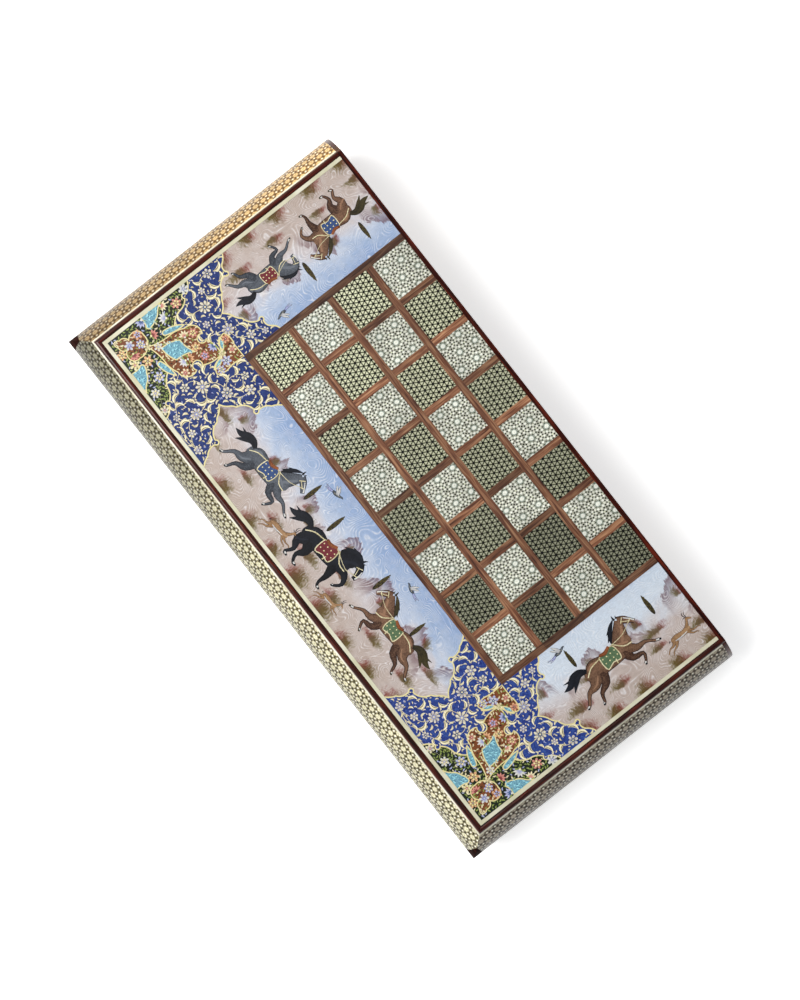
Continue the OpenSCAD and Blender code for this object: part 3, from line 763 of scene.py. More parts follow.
# %% Finishes on the nodes
FINISHES = {
    "board": base_wood, "front_rail": walnut_x, "hinge_rail": walnut_x, "left_rail": walnut_y,
    "right_rail": walnut_y, "hinge_lipping": rosewood_x, "corner_blocks": shaded_rosewood_block,
    "front_band": front_band, "left_band": left_band, "right_band": right_band,
    "front_bead": rosewood_x, "left_bead": rosewood_y, "right_bead": rosewood_y,
    "ivory_lines": bone, "cream_lines": cream, "painted_panel": blue_ground,
    "light_tiles": light_mosaic, "dark_tiles": dark_mosaic, "lattice": walnut_strip,
    "field": walnut_veneer, "light_points": maple_points, "dark_points": ebony_points,
    "rim_facings": rim_mosaic, "hinge_leaves": hinge_brass, "hinge_screws": screw_brass,
}
dressed = {f"{half}_{part}": made for half in ("lower", "upper") for part, made in FINISHES.items()}
dressed["hinge_pins"] = pin_steel
for name, material in dressed.items():
    nodes[name].data.materials.clear()
    nodes[name].data.materials.append(material)
print("dressed nodes:", len(dressed))

# %% [markdown]
# ## Painting by strokes
# The border is painted with a fine brush in thin layers of gouache, so it is made here in the same way.
# A plate is a flat wash inside an outline. A stroke is a ribbon with a raised middle that swells and
# tapers. Everything lies in the shallow sink between the blue ground and the face of the lid. Shapes are
# drawn in millimetres on the plan, and a height says how far they stand above the ground.

# %% Outlines from arcs
STRAIGHT_STEP = 6
ARC_STEP = 0.9


def arc(start, end, bulge):
    """Points of an arc without its end. A bulge of 1 is half a circle, on the right of the way."""
    a, b = Vector(start), Vector(end)
    if abs(bulge) < 0.01:
        count = max(1, int((b - a).length / STRAIGHT_STEP))
        return [a.lerp(b, i / count) for i in range(count)]
    sweep = 4 * math.atan(bulge)
    middle = (a + b) / 2 + (b - a).orthogonal() / 2 / math.tan(sweep / 2)
    count = max(3, int(abs(sweep) * (a - middle).length / ARC_STEP))
    return [middle + Matrix.Rotation(sweep * i / count, 2) @ (a - middle) for i in range(count)]


def trace(run):
    """The points of a run of (x, y, bulge) corners. A bulge belongs to the arc that follows."""
    points = []
    for (x, y, bulge), (next_x, next_y, unused) in zip(run, run[1:]):
        points += arc((x, y), (next_x, next_y), bulge)
    return points + [Vector(run[-1][:2])]


print("half a circle 10 mm wide has", len(arc((0, 0), (10, 0), 1)), "points")

# %% Mirror images of outlines
def turned(run):
    """The same run walked the other way, so that right and left change places."""
    bulges = [0] + [corner[2] for corner in run[:-1]]
    return [(x, y, -bulge) for (x, y, unused), bulge in zip(reversed(run), reversed(bulges))]


def both_sides(run, mirror):
    """A run that ends on the axis of a figure, and its mirror image back to the start."""
    return run[:-1] + [(*mirror(x, y), -bulge) for x, y, bulge in turned(run)]


def swap(x, y):
    """A point seen in the diagonal."""
    return y, x


def flip(x, y):
    """A point seen in the middle line."""
    return -x, y


print("a run of two corners and its mirror image:", both_sides([(4, 1, 0.5), (0, 3, 0)], flip))

# %% [markdown]
# ## Washes, strokes and dabs
# A wash is one face inside its outline, extruded down to the ground so that it is a closed plate. A stroke
# has a flat triangle as its section, with the apex up, so light falls differently on its two sides, as on
# thick paint. Its apex also carries a lighter shade and its edges a darker one, a painted highlight. A dab
# is a short cone without its tip. Each leaves its shade on its points.

# %% Sheets and washes
def new_sheet():
    """An empty sheet of painting, with the values that its pigments read."""
    sheet = bmesh.new()
    sheet.verts.layers.float.new("shade")
    sheet.verts.layers.float_vector.new("scene")
    return sheet


def plate(sheet, outline, top, pigment, shade=0.5, place=None):
    """A flat wash of one pigment inside an outline."""
    verts = [sheet.verts.new((x, y, top)) for x, y in outline]
    face = sheet.faces.new(verts)
    face.material_index = PIGMENT_NAMES.index(pigment)
    for vert in verts:
        vert[sheet.verts.layers.float["shade"]] = shade
        if place:
            vert[sheet.verts.layers.float_vector["scene"]] = place(vert.co)
    made = bmesh.ops.extrude_face_region(sheet, geom=[face])["geom"]
    lowered = [part for part in made if isinstance(part, bmesh.types.BMVert)]
    bmesh.ops.translate(sheet, vec=(0, 0, -top), verts=lowered)


print("pigments to lay on a sheet:", ", ".join(PIGMENT_NAMES))

# %% Strokes
RIDGE = 0.03
THINNEST = 0.04
# The apex of a stroke is painted lighter and its edges darker: a painted highlight.
RIDGE_HIGHLIGHT_TONES = (-0.12, 0.15, -0.12)


def smooth(points, steps):
    """A curve through (x, y, half width) points, with so many steps from each to the next."""
    knots = [Vector(p) for p in points]
    before = [knots[0]] + knots[:-2]
    after = knots[2:] + [knots[-1]]
    curve = []
    for a, p, q, b in zip(before, knots, knots[1:], after):
        curve += geometry.interpolate_bezier(p, p + (q - a) / 6, q - (b - p) / 6, q, steps + 1)[:-1]
    return curve + [knots[-1]]


def stroke(sheet, points, low, pigment, shade, ridge=RIDGE):
    """A brush stroke through (x, y, half width) points. shade is its tone at the start and at the end."""
    layer = sheet.verts.layers.float["shade"]
    rows = []
    for i, point in enumerate(points):
        way = (points[min(i + 1, len(points) - 1)] - points[max(i - 1, 0)]).xy
        side = way.orthogonal().normalized() * max(point.z, THINNEST)
        middle = point.xy
        tone = shade[0] + (shade[1] - shade[0]) * i / (len(points) - 1)
        row = [sheet.verts.new((*(middle + side), low)), sheet.verts.new((*middle, low + ridge)),
               sheet.verts.new((*(middle - side), low))]
        for vert, painted_lift in zip(row, RIDGE_HIGHLIGHT_TONES):
            vert[layer] = tone + painted_lift
        rows.append(row)
    faces = [(rows[0][0], rows[0][2], rows[0][1]), (rows[-1][0], rows[-1][1], rows[-1][2])]
    for (a, b, c), (d, e, f) in zip(rows, rows[1:]):
        faces += [(a, b, e, d), (b, c, f, e), (c, a, d, f)]
    for corners in faces:
        sheet.faces.new(corners).material_index = PIGMENT_NAMES.index(pigment)


def even(points, half_width):
    """Plan points as a stroke of one width."""
    return [Vector((x, y, half_width)) for x, y in points]


print("a stroke's middle stands", RIDGE, "mm high")

# %% Dabs
DAB = 0.025


def spot(sheet, x, y, radius, low, pigment, shade, sides=6):
    """A small raised dab of paint."""
    made = bmesh.ops.create_cone(sheet, cap_ends=True, segments=sides, radius1=radius, radius2=radius * 0.6,
                                 depth=DAB, matrix=Matrix.Translation((x, y, low + DAB / 2)))["verts"]
    for vert in made:
        vert[sheet.verts.layers.float["shade"]] = shade
    for face in {face for vert in made for face in vert.link_faces}:
        face.material_index = PIGMENT_NAMES.index(pigment)


print("a dab is", DAB, "mm high")

# %% From a sheet to a piece
def hang(sheet, name, both=True, materials=PIGMENTS):
    """Turns a sheet into a piece on the upper half and its mirror image on the lower half."""
    if both:
        bmesh.ops.mirror(sheet, geom=sheet.verts[:] + sheet.edges[:] + sheet.faces[:], axis="X",
                         matrix=Matrix.Identity(4), merge_dist=-1)
    used = sorted({face.material_index for face in sheet.faces})
    for face in sheet.faces:
        face.material_index = used.index(face.material_index)
        face.smooth = False
    for half, ground, way in (("upper", PAINT_TOP, 1), ("lower", PAINT_LOW, -1)):
        form = sheet.copy()
        bmesh.ops.scale(form, vec=(MM, MM, way * MM), verts=form.verts)
        bmesh.ops.translate(form, vec=(0, 0, ground * MM), verts=form.verts)
        bmesh.ops.recalc_face_normals(form, faces=form.faces)
        mesh = bpy.data.meshes.new(f"{half}_{name}")
        form.to_mesh(mesh)
        form.free()
        for index in used:
            mesh.materials.append(materials[PIGMENT_NAMES[index]])
        piece = bpy.data.objects.new(f"{half}_{name}", mesh)
        bpy.context.scene.collection.objects.link(piece)
        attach(piece, f"{half}_half")
    print(f"{name}: {len(sheet.faces)} faces a half")
    sheet.free()


# %% [markdown]
# ## The layout of the border
# Three scenes with lobed ends lie along the free edges, and a corner piece fills each front corner. The
# outlines are chains of arcs that meet in cusps, and small round notches let the blue bite into them. A
# chain is written for one side of its axis, and the other side is its mirror image.

# %% Outlines of the scenes
END_MIDDLE = (PANEL_X + LATTICE_X) / 2
FRONT_MIDDLE = (PANEL_FRONT + LATTICE_FRONT) / 2
HALF_END = PANEL_X - END_MIDDLE
HALF_FRONT = LATTICE_FRONT - FRONT_MIDDLE

end_run = [(-HALF_END, 8.2, -0.18), (-29, 3.4, 0.3), (-23, 1.9, -1.7), (-20.9, -0.4, 0.32),
           (-12, -9.6, 0.16), (-6, -14, -0.14), (0, -19.2, 0)]
end_lobes = [(x - END_MIDDLE, y, bulge) for x, y, bulge in both_sides(end_run, flip)]
end_edge = trace(end_lobes)
end_outline = end_edge + [Vector((-LATTICE_X, PANEL_BACK)), Vector((-PANEL_X, PANEL_BACK))]

front_run = [(HALF_FRONT, -108.6, 0.12), (30, -113, 0.3), (20.6, -116.4, -1.7), (18.4, -118.8, 0.32),
             (9, -128.6, 0.16), (5, -132.4, -0.16), (0, -138.4, 0)]
front_lobes = [(y, x + FRONT_MIDDLE, bulge) for x, y, bulge in both_sides(front_run, flip)]
front_edge = trace(front_lobes)
front_outline = front_edge + [Vector((-x, y)) for x, y in reversed(front_edge)]
print("points of an end scene's edge:", len(end_edge), "and of the front one's:", len(front_edge))

# %% [markdown]
# ## The corner pieces
# Each front corner holds a medallion on the diagonal, with a heart towards the corner and a pendant
# towards the squares, turquoise leaves between them and a lozenge in the middle. They are drawn from the
# panel's corner on a square of 72 units, which the true width and depth of the border then stretch.

# %% Figures of the corner pieces
CORNER_UNITS = 72


def corner(run):
    """A run in corner units on the plan."""
    wide = (PANEL_X - LATTICE_X) / CORNER_UNITS
    deep = (LATTICE_FRONT - PANEL_FRONT) / CORNER_UNITS
    return [(x * wide - PANEL_X, y * deep + PANEL_FRONT, bulge) for x, y, bulge in run]


def figure(run):
    """The closed outline of a corner figure from the run on one side of the diagonal."""
    return trace(corner(turned(both_sides(run, swap))))[:-1]


corner_run = [(0, 73, -0.2), (7.4, 66.6, 1.7), (9.4, 64, -0.24), (14.6, 54, 0.2), (24, 44.5, 0.1),
              (34, 34, 0)]
corner_edge = trace(corner(turned(both_sides(corner_run, swap))))
corner_outline = [Vector((-PANEL_X, PANEL_FRONT))] + corner_edge
medallion_run = [(21, 21, 0.12), (24.4, 41, -0.1), (27.2, 50.4, -0.6), (38.8, 58.2, 2.1), (44.4, 57.8, -0.2),
                 (60, 60, 0)]
medallion = figure(medallion_run)
pendant_run = [(61.6, 61.6, -0.25), (55, 62.6, -0.3), (48.6, 70.4, -0.25), (60, 71.6, 0), (71.8, 71.8, 0)]
pendant = figure(pendant_run)
heart_run = [(21, 21, 0.3), (12, 24.2, 0.5), (5.4, 18.6, 0.3), (8.6, 13.2, 0.55), (4.2, 7.6, 0.4),
             (3.4, 3.4, 0)]
heart = figure(heart_run)
russet_forms = [medallion, pendant, heart]
print("russet forms a corner:", len(russet_forms))

# %% Turquoise forms
lozenge_run = [(28.4, 28.4, -0.16), (32, 42.6, 0.16), (46.4, 46.4, 0)]
lozenge = figure(lozenge_run)
edge_run = [(0, 48.6, 0.14), (5, 42.2, -0.2), (8.8, 36.4, -0.2), (10.6, 32.4, -1.0), (7.4, 29.8, 0.1),
            (0, 30, 0), (0, 48.6, 0)]
leaf_run = [(25, 52, -0.1), (22.4, 36.4, -0.8), (18.8, 37.4, -0.16), (25, 52, 0)]
small_run = [(48.8, 66.4, -0.3), (58.6, 62.6, -0.3), (48.8, 66.4, 0)]
turquoise_forms = [lozenge]
for run in (edge_run, leaf_run, small_run):
    turquoise_forms.append(trace(corner(run))[:-1])
    turquoise_forms.append(trace(corner([(y, x, -bulge) for x, y, bulge in run]))[:-1])
print("turquoise forms a corner:", len(turquoise_forms))

# %% [markdown]
# ## The grounds
# The scenes stand on a wash that goes from a beige ground through pale lilac to a blue sky, which is paler
# in the right scene. Each scene is seen from its own edge of the case, so its points carry a place of
# their own, across the scene and up from that edge, and the wash reads it. Rocks rise on the skyline,
# thin white lines curl all over, and soft tufts of dry grass stand in rows, the largest near the edge.
# All of it is colour washed into colour without an outline, so it is painted in the material, and only
# what has a brushed edge is modelled.

# %% One form in each stretch of a row
PLACE_IN_STRETCH = (0.42, 0.58)


def form_row(tree, place, spacing, base, wander, wide, tall, seed):
    """One painted form in each stretch of a row: its own across and up, in half widths and heights.

    spacing, base and wander place the row and its feet, and wide and tall are the least and the most of
    a form's half width and height.
    """
    parts = put(tree, "SeparateXYZ", place).node.outputs
    ratio = put(tree, "Math", parts[0], 1 / spacing, seed, operation="MULTIPLY_ADD")
    cell = put(tree, "Math", ratio, operation="FLOOR")
    dice = put(tree, "TexWhiteNoise", put(tree, "CombineXYZ", cell, seed, 0.5), out=1)
    dice = put(tree, "SeparateXYZ", dice).node.outputs
    middle = put(tree, "MapRange", dice[0], 0, 1, *PLACE_IN_STRETCH)
    middle = put(tree, "Math", cell, middle, operation="ADD")
    half = put(tree, "MapRange", dice[1], 0, 1, wide[0] / spacing, wide[1] / spacing)
    across = put(tree, "Math", ratio, middle, operation="SUBTRACT")
    across = put(tree, "Math", across, half, operation="DIVIDE")
    foot = put(tree, "MapRange", dice[2], 0, 1, base - wander, base + wander)
    high = put(tree, "MapRange", dice[1], 0, 1, *tall)
    up = put(tree, "Math", parts[1], foot, operation="SUBTRACT")
    return across, put(tree, "Math", up, high, operation="DIVIDE")


print("a form stands between", PLACE_IN_STRETCH[0], "and", PLACE_IN_STRETCH[1], "of its stretch")

# %% Tufts and rocks
FOOT_EDGE = 3.0
RAGGED = 0.25


def tufts(tree, place, colour, strength, stops, *lay):
    """Soft tufts of dry grass, with a sharper lower edge."""
    across, up = form_row(tree, place, *lay)
    down = put(tree, "Math", up, -FOOT_EDGE, operation="MULTIPLY")
    away = put(tree, "CombineXYZ", across, put(tree, "Math", up, down, operation="MAXIMUM"), 0.0)
    away = put(tree, "VectorMath", away, out=1, operation="LENGTH")
    blades = put(tree, "VectorMath", place, (1.0, 0.4, 1.0), operation="MULTIPLY")
    hair = put(tree, "TexNoise", blades, None, 0.8, 3)
    away = put(tree, "Math", away, put(tree, "MapRange", hair, 0.3, 0.7, -RAGGED, RAGGED), operation="ADD")
    mask = put(tree, "MapRange", away, 0.3, 1.1, strength, 0, interpolation_type="SMOOTHSTEP")
    tone = put(tree, "Math", across, 0.8, 0.42, operation="MULTIPLY_ADD")
    core = put(tree, "MapRange", away, 0, 0.8, 0.68, 1.12)
    stain = put(tree, "VectorMath", put(tree, "ValToRGB", tone, stops=stops), core, operation="MULTIPLY")
    return put(tree, "MixRGB", mask, colour, stain)


def rocks(tree, place, colour, strength, code, *lay):
    """Peaks with a crisp crest that fade downwards."""
    across, up = form_row(tree, place, *lay)
    side = put(tree, "Math", across, operation="ABSOLUTE")
    along = put(tree, "VectorMath", place, (1, 0, 0), operation="MULTIPLY")
    jag = put(tree, "TexNoise", along, None, 0.25, 3)
    crest = put(tree, "Math", put(tree, "MapRange", jag, 0.3, 0.7, 0.65, 1.25),
                put(tree, "Math", side, 1.3, operation="POWER"), operation="SUBTRACT")
    below = put(tree, "Math", crest, up, operation="SUBTRACT")
    edge = put(tree, "MapRange", below, 0, 0.12, 0, strength)
    fade = put(tree, "MapRange", below, 0.1, 1.3, 1, 0)
    fade = put(tree, "Math", fade, put(tree, "MapRange", side, 0.8, 1.0, 1, 0), operation="MULTIPLY")
    return put(tree, "MixRGB", put(tree, "Math", edge, fade, operation="MULTIPLY"), colour, paint(code))


print("a tuft's lower edge is", FOOT_EDGE, "times as sharp as its top")

# %% Wash of the scenes
SKY_LEVEL = 74
CLOUD_SWING = 7
LINES = 56
PALE_FROM, PALE_TO, PALENESS = 110, 160, 0.75
ROCK_ROWS = ((0.85, "#6E4854", 41, 47, 4, (9, 16), (8, 14), 0.3),
             (0.7, "#7E5C5E", 59, 36, 5, (10, 19), (7, 12), 5.7))
TUFT_ROWS = ((0.9, 43, 46, 4, (4, 7), (6, 9), 2.2), (0.9, 51, 34, 4, (9, 15), (5, 7), 9.1),
             (0.92, 37, 19, 4, (10, 15), (6, 10), 4.6), (0.96, 29, 3, 1.2, (9, 13), (9, 13), 7.4))
TUFT_TONES = [(0, "#84382C"), (0.35, "#6A4A1C"), (0.9, "#665A14")]


def scene_wash():
    """Sky and ground, then rocks, white lines, tufts and the marks of the brush, in this order."""
    material, tree, shader, at = finish("scene wash on gesso", coat=0.2, coat_roughness=0.2, gloss=0.25)
    place = put(tree, "Attribute", out=1, attribute_name="scene")
    height = put(tree, "SeparateXYZ", place, out=1)
    cloud = put(tree, "TexNoise", place, None, 0.05, 4, named={"Distortion": 0.6})
    swing = put(tree, "MapRange", cloud, 0.3, 0.7, -CLOUD_SWING, CLOUD_SWING)
    level = put(tree, "Math", height, swing, operation="ADD")
    level = put(tree, "Math", level, SKY_LEVEL, operation="DIVIDE")
    colour = put(tree, "ValToRGB", level, stops=[(0, "#BFADA2"), (0.35, "#CABBB5"), (0.52, "#D4CDD0"),
                                                 (0.66, "#C6D1E5"), (0.82, "#A8BCDC"), (1, "#98B0D8")])
    side = put(tree, "SeparateXYZ", at, out=0)
    paler = put(tree, "MapRange", side, PALE_FROM, PALE_TO, 0, PALENESS)
    paler = put(tree, "Math", paler, put(tree, "MapRange", level, 0.4, 0.7, 0, 1), operation="MULTIPLY")
    colour = put(tree, "MixRGB", paler, colour, paint("#E4EEF8"))
    bent = put(tree, "TexNoise", place, None, 0.12, 2, out=1)
    bent = put(tree, "VectorMath", bent, (7, 5, 0), place, operation="MULTIPLY_ADD")
    for row in ROCK_ROWS:
        colour = rocks(tree, bent, colour, *row)
    field = put(tree, "TexNoise", place, None, 0.03, 1, named={"Distortion": 0.7})
    bands = put(tree, "Math", field, LINES, operation="MULTIPLY")
    curl = put(tree, "Math", put(tree, "Math", bands, 0.5, -0.5, operation="WRAP"), operation="ABSOLUTE")
    line_mask = put(tree, "MapRange", curl, 0.02, 0.22, 1, 0, interpolation_type="SMOOTHSTEP")
    broken = put(tree, "MapRange", put(tree, "TexNoise", place, None, 0.16, 2), 0.4, 0.6, 0.1, 0.6)
    line_mask = put(tree, "Math", line_mask, broken, operation="MULTIPLY")
    colour = put(tree, "MixRGB", line_mask, colour, paint("#F3F2F4"))
    # The ground midway between the raised white lines is painted a little darker, a painted shade of their
    # relief.
    between = put(tree, "MapRange", curl, 0.2, 0.5, 1, 0.93)
    colour = put(tree, "VectorMath", colour, between, operation="MULTIPLY")
    for strength, *lay in TUFT_ROWS:
        colour = tufts(tree, bent, colour, strength, TUFT_TONES, *lay)
    drawn = put(tree, "VectorMath", place, (0.35, 1, 1), operation="MULTIPLY")
    brush = put(tree, "TexNoise", drawn, None, 0.9, 3, named={"Distortion": 1.5})
    brush = put(tree, "MapRange", brush, 0.3, 0.7, 0.9, 1.08)
    colour = put(tree, "VectorMath", colour, brush, operation="MULTIPLY")
    connect(tree, shader, colour, uneven(tree, at, 12, 0.4, 0.58), line_mask, 0.06)
    return material


scene_paint = {"white": scene_wash()}
print("rows of rocks:", len(ROCK_ROWS), "and of tufts:", len(TUFT_ROWS))

# %% Plates of the scenes
WASH_TOP = 0.02
sheet = new_sheet()
plate(sheet, end_outline, WASH_TOP, "white", place=lambda c: (-c.y, PANEL_X + c.x, 0))
hang(sheet, "end_scenes", materials=scene_paint)
sheet = new_sheet()
plate(sheet, front_outline, WASH_TOP, "white", place=lambda c: (c.x, c.y - PANEL_FRONT, 0))
hang(sheet, "front_scene", both=False, materials=scene_paint)

# %% [markdown]
# ## Washes of the corner pieces
# The corner piece is laid as a black green ground first. Its russet figures lie on that, and the
# turquoise ones on top. Each kind is a little higher than the one below, so no two faces share a plane.

# %% Washes of the corners
RUSSET_TOP = 0.06
TURQUOISE_TOP = 0.07
sheet = new_sheet()
plate(sheet, corner_outline, WASH_TOP, "green black")
for form in russet_forms:
    plate(sheet, form, RUSSET_TOP, "russet")
for form in turquoise_forms:
    plate(sheet, form, TURQUOISE_TOP, "turquoise", 0.44)
hang(sheet, "corner_grounds")

# %% [markdown]
# ## Flowers and tendrils
# The corner pieces are packed with small rosettes and leaves on a dark ground. On the blue, gold leaves
# turn round larger rosettes and follow thin tendrils. Places are drawn at random, but never too close to
# an outline or to each other, and the generator starts from a fixed number, so each run is the same.
# Outlines are cut into close points, and a search tree tells how near the nearest one is.

# %% Free ground
WALL_STEP = 0.7


def inside(point, outline):
    """True if a plan point lies in a closed outline."""
    x, y = point
    odd = False
    for a, b in zip(outline, outline[1:] + outline[:1]):
        if (a.y > y) != (b.y > y) and x < a.x + (y - a.y) * (b.x - a.x) / (b.y - a.y):
            odd = not odd
    return odd


def nearness(lines):
    """A search tree of points along lines, to ask how close the nearest one is."""
    points = []
    for run in lines:
        for a, b in zip(run, run[1:]):
            count = max(1, round((b - a).length / WALL_STEP))
            points += [a.lerp(b, i / count) for i in range(count)]
    tree = kdtree.KDTree(len(points))
    for i, point in enumerate(points):
        tree.insert((*point, 0), i)
    tree.balance()
    return tree


print("points on 7 mm of an outline:", round(7 / WALL_STEP))

# %% Scattered places
def random_place(chance, area):
    """A random point in an area, which is given by its two opposite corners."""
    return Vector([chance.uniform(low, high) for low, high in zip(*area)])


def scatter(area, allowed, margin, gap, taken, tries, seed):
    """Random places that keep a margin from the walls and a gap from the places already taken.

    taken holds (place, reach) pairs, and every place that is found joins them.
    """
    chance = random.Random(seed)
    found = []
    for attempt in range(tries):
        point = random_place(chance, area)
        if walls.find((*point, 0))[2] < margin or not allowed(point):
            continue
        if all((point - other).length > gap + reach for other, reach in taken):
            found.append(point)
            taken.append((point, 0))
    return found


frame_edge = trace([(-PANEL_X, PANEL_BACK, 0), (-PANEL_X, PANEL_FRONT, 0), (0, PANEL_FRONT, 0)])
field_edge = trace([(-LATTICE_X, PANEL_BACK, 0), (-LATTICE_X, LATTICE_FRONT, 0), (0, LATTICE_FRONT, 0)])
outlines = [end_edge, front_edge, corner_edge] + russet_forms + turquoise_forms
walls = nearness(outlines + [frame_edge, field_edge])
print("outlines to keep away from:", len(outlines) + 2)

# %% The four grounds
BLUE_LEFT_OUT = [end_outline, front_outline, corner_outline, medallion, pendant]


def in_any(point, forms):
    """True if a plan point lies in one of the outlines."""
    return any(inside(point, form) for form in forms)


def in_blue(point):
    """True on the blue round the scenes and the corner piece."""
    if point.x < -PANEL_X or point.y < PANEL_FRONT or point.y > PANEL_BACK:
        return False
    return not in_any(point, BLUE_LEFT_OUT) and (point.x < -LATTICE_X or point.y < LATTICE_FRONT)


def in_corner(point):
    """True on the black green ground of the corner piece."""
    return inside(point, corner_outline) and not in_any(point, [medallion, heart] + turquoise_forms)


def in_russet(point):
    """True on the medallion, the pendant and the heart."""
    return in_any(point, russet_forms) and not in_any(point, turquoise_forms)


def in_turquoise(point):
    """True on the turquoise forms."""
    return in_any(point, turquoise_forms)


print("outlines that the blue leaves out:", len(BLUE_LEFT_OUT))

# %% [markdown]
# ## Motifs
# Every motif is built from the same few strokes. A rosette is a ring of bent petals with an eye, a leaf is
# one comma, an acanthus is a curled blade with lobes on its outer side and a dark vein, and a palmette is
# a flower from the side. A leaf has only a few dozen faces, because it is repeated hundreds of times.

# %% Rosettes and leaves
def heading(angle):
    """The unit vector of an angle on the plan."""
    return Vector((math.cos(angle), math.sin(angle)))


def rosette(sheet, middle, radius, colours, low, petals, turn=0.0, inner=None):
    """A flower from above: curved petals, with an inner colour or without, round a ring and an eye."""
    petal, ring, eye = colours
    for i in range(petals):
        angle = turn + 2 * math.pi * i / petals
        points = []
        for along, lean, width in ((0.3, 0, 0.08), (0.6, 0.06, 1.55 / petals), (0.86, 0.16, 1.6 / petals),
                                   (1.02, 0.24, 0.5 / petals)):
            points.append((*(middle + heading(angle + lean) * radius * along), radius * width))
        stroke(sheet, smooth(points, 2), low, petal, (0.2, 1.0))
        if inner:
            within = [(x, y, width * 0.36) for x, y, width in points[:3]]
            stroke(sheet, smooth(within, 2), low + 0.02, inner, (0.3, 1.0), ridge=0.02)
    spot(sheet, *middle, radius * 0.38, low + 0.012, ring, 0.3, sides=8)
    spot(sheet, *middle, radius * 0.2, low + 0.03, eye, 0.9)


def leaf(sheet, root, angle, length, curl, low, colour, width=0.17, shade=(0.25, 0.95)):
    """A comma-shaped leaf that bends by curl from root to tip."""
    points, place = [], root.copy()
    for i, part in enumerate((0.1, 0.75, 1.0, 0.6, 0.08)):
        points.append((*place, length * width * part))
        place = place + heading(angle + curl * i / 4) * length / 4
    stroke(sheet, smooth(points, 2), low, colour, shade)


def faces_of(motif, *values):
    """How many faces a motif has, counted on a spare sheet."""
    spare = new_sheet()
    motif(spare, *values)
    count = len(spare.faces)
    spare.free()
    return count


print("faces of a leaf:", faces_of(leaf, Vector((0, 0)), 0, 5, 1, 0, "gold"))

# %% Acanthus and palmettes
def acanthus(sheet, root, angle, length, curl, low, colour):
    """A half palmette: a curled blade with a dark vein, whose outer side carries small lobes."""
    leaf(sheet, root, angle, length, curl, low + 0.012, colour, width=0.15, shade=(0.5, 1.2))
    side = -1 if curl > 0 else 1
    for i in range(4):
        part = (i + 0.7) / 4.4
        place = root.copy()
        for j in range(8):
            place = place + heading(angle + curl * part * (j + 0.5) / 8) * length * part / 8
        leaf(sheet, place, angle + curl * part + side * 1.0, length * (0.38 - 0.05 * i), -side * 1.5, low,
             colour, width=0.24, shade=(0.2, 1.0))
    inward = heading(angle - side * 1.57) * length * 0.03
    leaf(sheet, root + inward, angle, length * 0.86, curl * 0.96, low + 0.045, "olive", width=0.035,
         shade=(0.3, 0.6))


def palmette(sheet, middle, radius, turn, colours, low):
    """A flower from the side: a fan of petals over two green sepals."""
    petal, ring, eye = colours
    root = middle - heading(turn) * radius * 0.8
    for i in range(-2, 3):
        spread = 0.1 * abs(i)
        leaf(sheet, root, turn + i * 0.42, radius * (1.6 - spread), i * 0.25, low, petal, width=0.2)
        leaf(sheet, root, turn + i * 0.42, radius * (1.0 - spread), i * 0.25, low + 0.03, ring, width=0.15)
    for side in (-1, 1):
        leaf(sheet, root, turn + side * 1.15, radius * 1.1, side * 1.2, low + 0.01, "leaf green", width=0.2)
    spot(sheet, *root, radius * 0.26, low + 0.04, eye, 0.9)


print("faces of an acanthus:", faces_of(acanthus, Vector((0, 0)), 0, 9, 2, 0, "gold"))

# %% [markdown]
# ## Flowers of the corner pieces
# The painter first sets the flowers, each in two layers of petals or from the side, and then fills what
# is left with small curled leaves. The random draws follow that order. Leaves keep a little away from the
# flowers, and everything keeps away from the outlines.

# %% Corner flowers
INNER_COLOURS = ("rose", "lilac", "white", "cream")
FLOWER_COLOURS = [("rose", "red", "cream"), ("lilac", "blue", "white"), ("peach", "russet", "white"),
                  ("white", "lilac", "gold"), ("gold", "rose", "white")]
FLOWER_AREA = ((-PANEL_X, PANEL_FRONT), (-LATTICE_X + 12, LATTICE_FRONT + 4))
CORNER_AREA = ((-PANEL_X, PANEL_FRONT), (-LATTICE_X, LATTICE_FRONT))
FLOWER_TRIES, LEAF_TRIES, WASH_TRIES = 9000, 12000, 6000
LEAF_MARGIN = 0.9


def flower_bed(sheet, allowed, seed, gap, radius, greens, low):
    """Rosettes and palmettes with leaves between them."""
    chance = random.Random(seed)
    taken = []
    places = scatter(FLOWER_AREA, allowed, radius * 0.72, gap, taken, FLOWER_TRIES, seed)
    for i, place in enumerate(places):
        size, turn = radius * chance.uniform(0.88, 1.06), chance.uniform(0, 6)
        colours = FLOWER_COLOURS[(i + seed) % 5]
        if i % 3 == 2:
            palmette(sheet, place, size, turn, colours, low + 0.025)
            continue
        rosette(sheet, place, size, colours, low + 0.025, petals=chance.choice((6, 7)), turn=turn)
        rosette(sheet, place, size * 0.62, (chance.choice(INNER_COLOURS), *colours[1:]), low + 0.045,
                petals=5, turn=turn + 0.4)
    taken[:] = [(place, radius * 0.62) for place in places]
    for place in scatter(FLOWER_AREA, allowed, LEAF_MARGIN, 1.9, taken, LEAF_TRIES, seed + 1):
        angle = chance.uniform(0, 2 * math.pi)
        leaf(sheet, place - heading(angle) * 1.1, angle, chance.uniform(2.2, 3.2),
             chance.choice((-1.6, 1.6)), low, chance.choice(greens), width=0.2)
    return len(places)


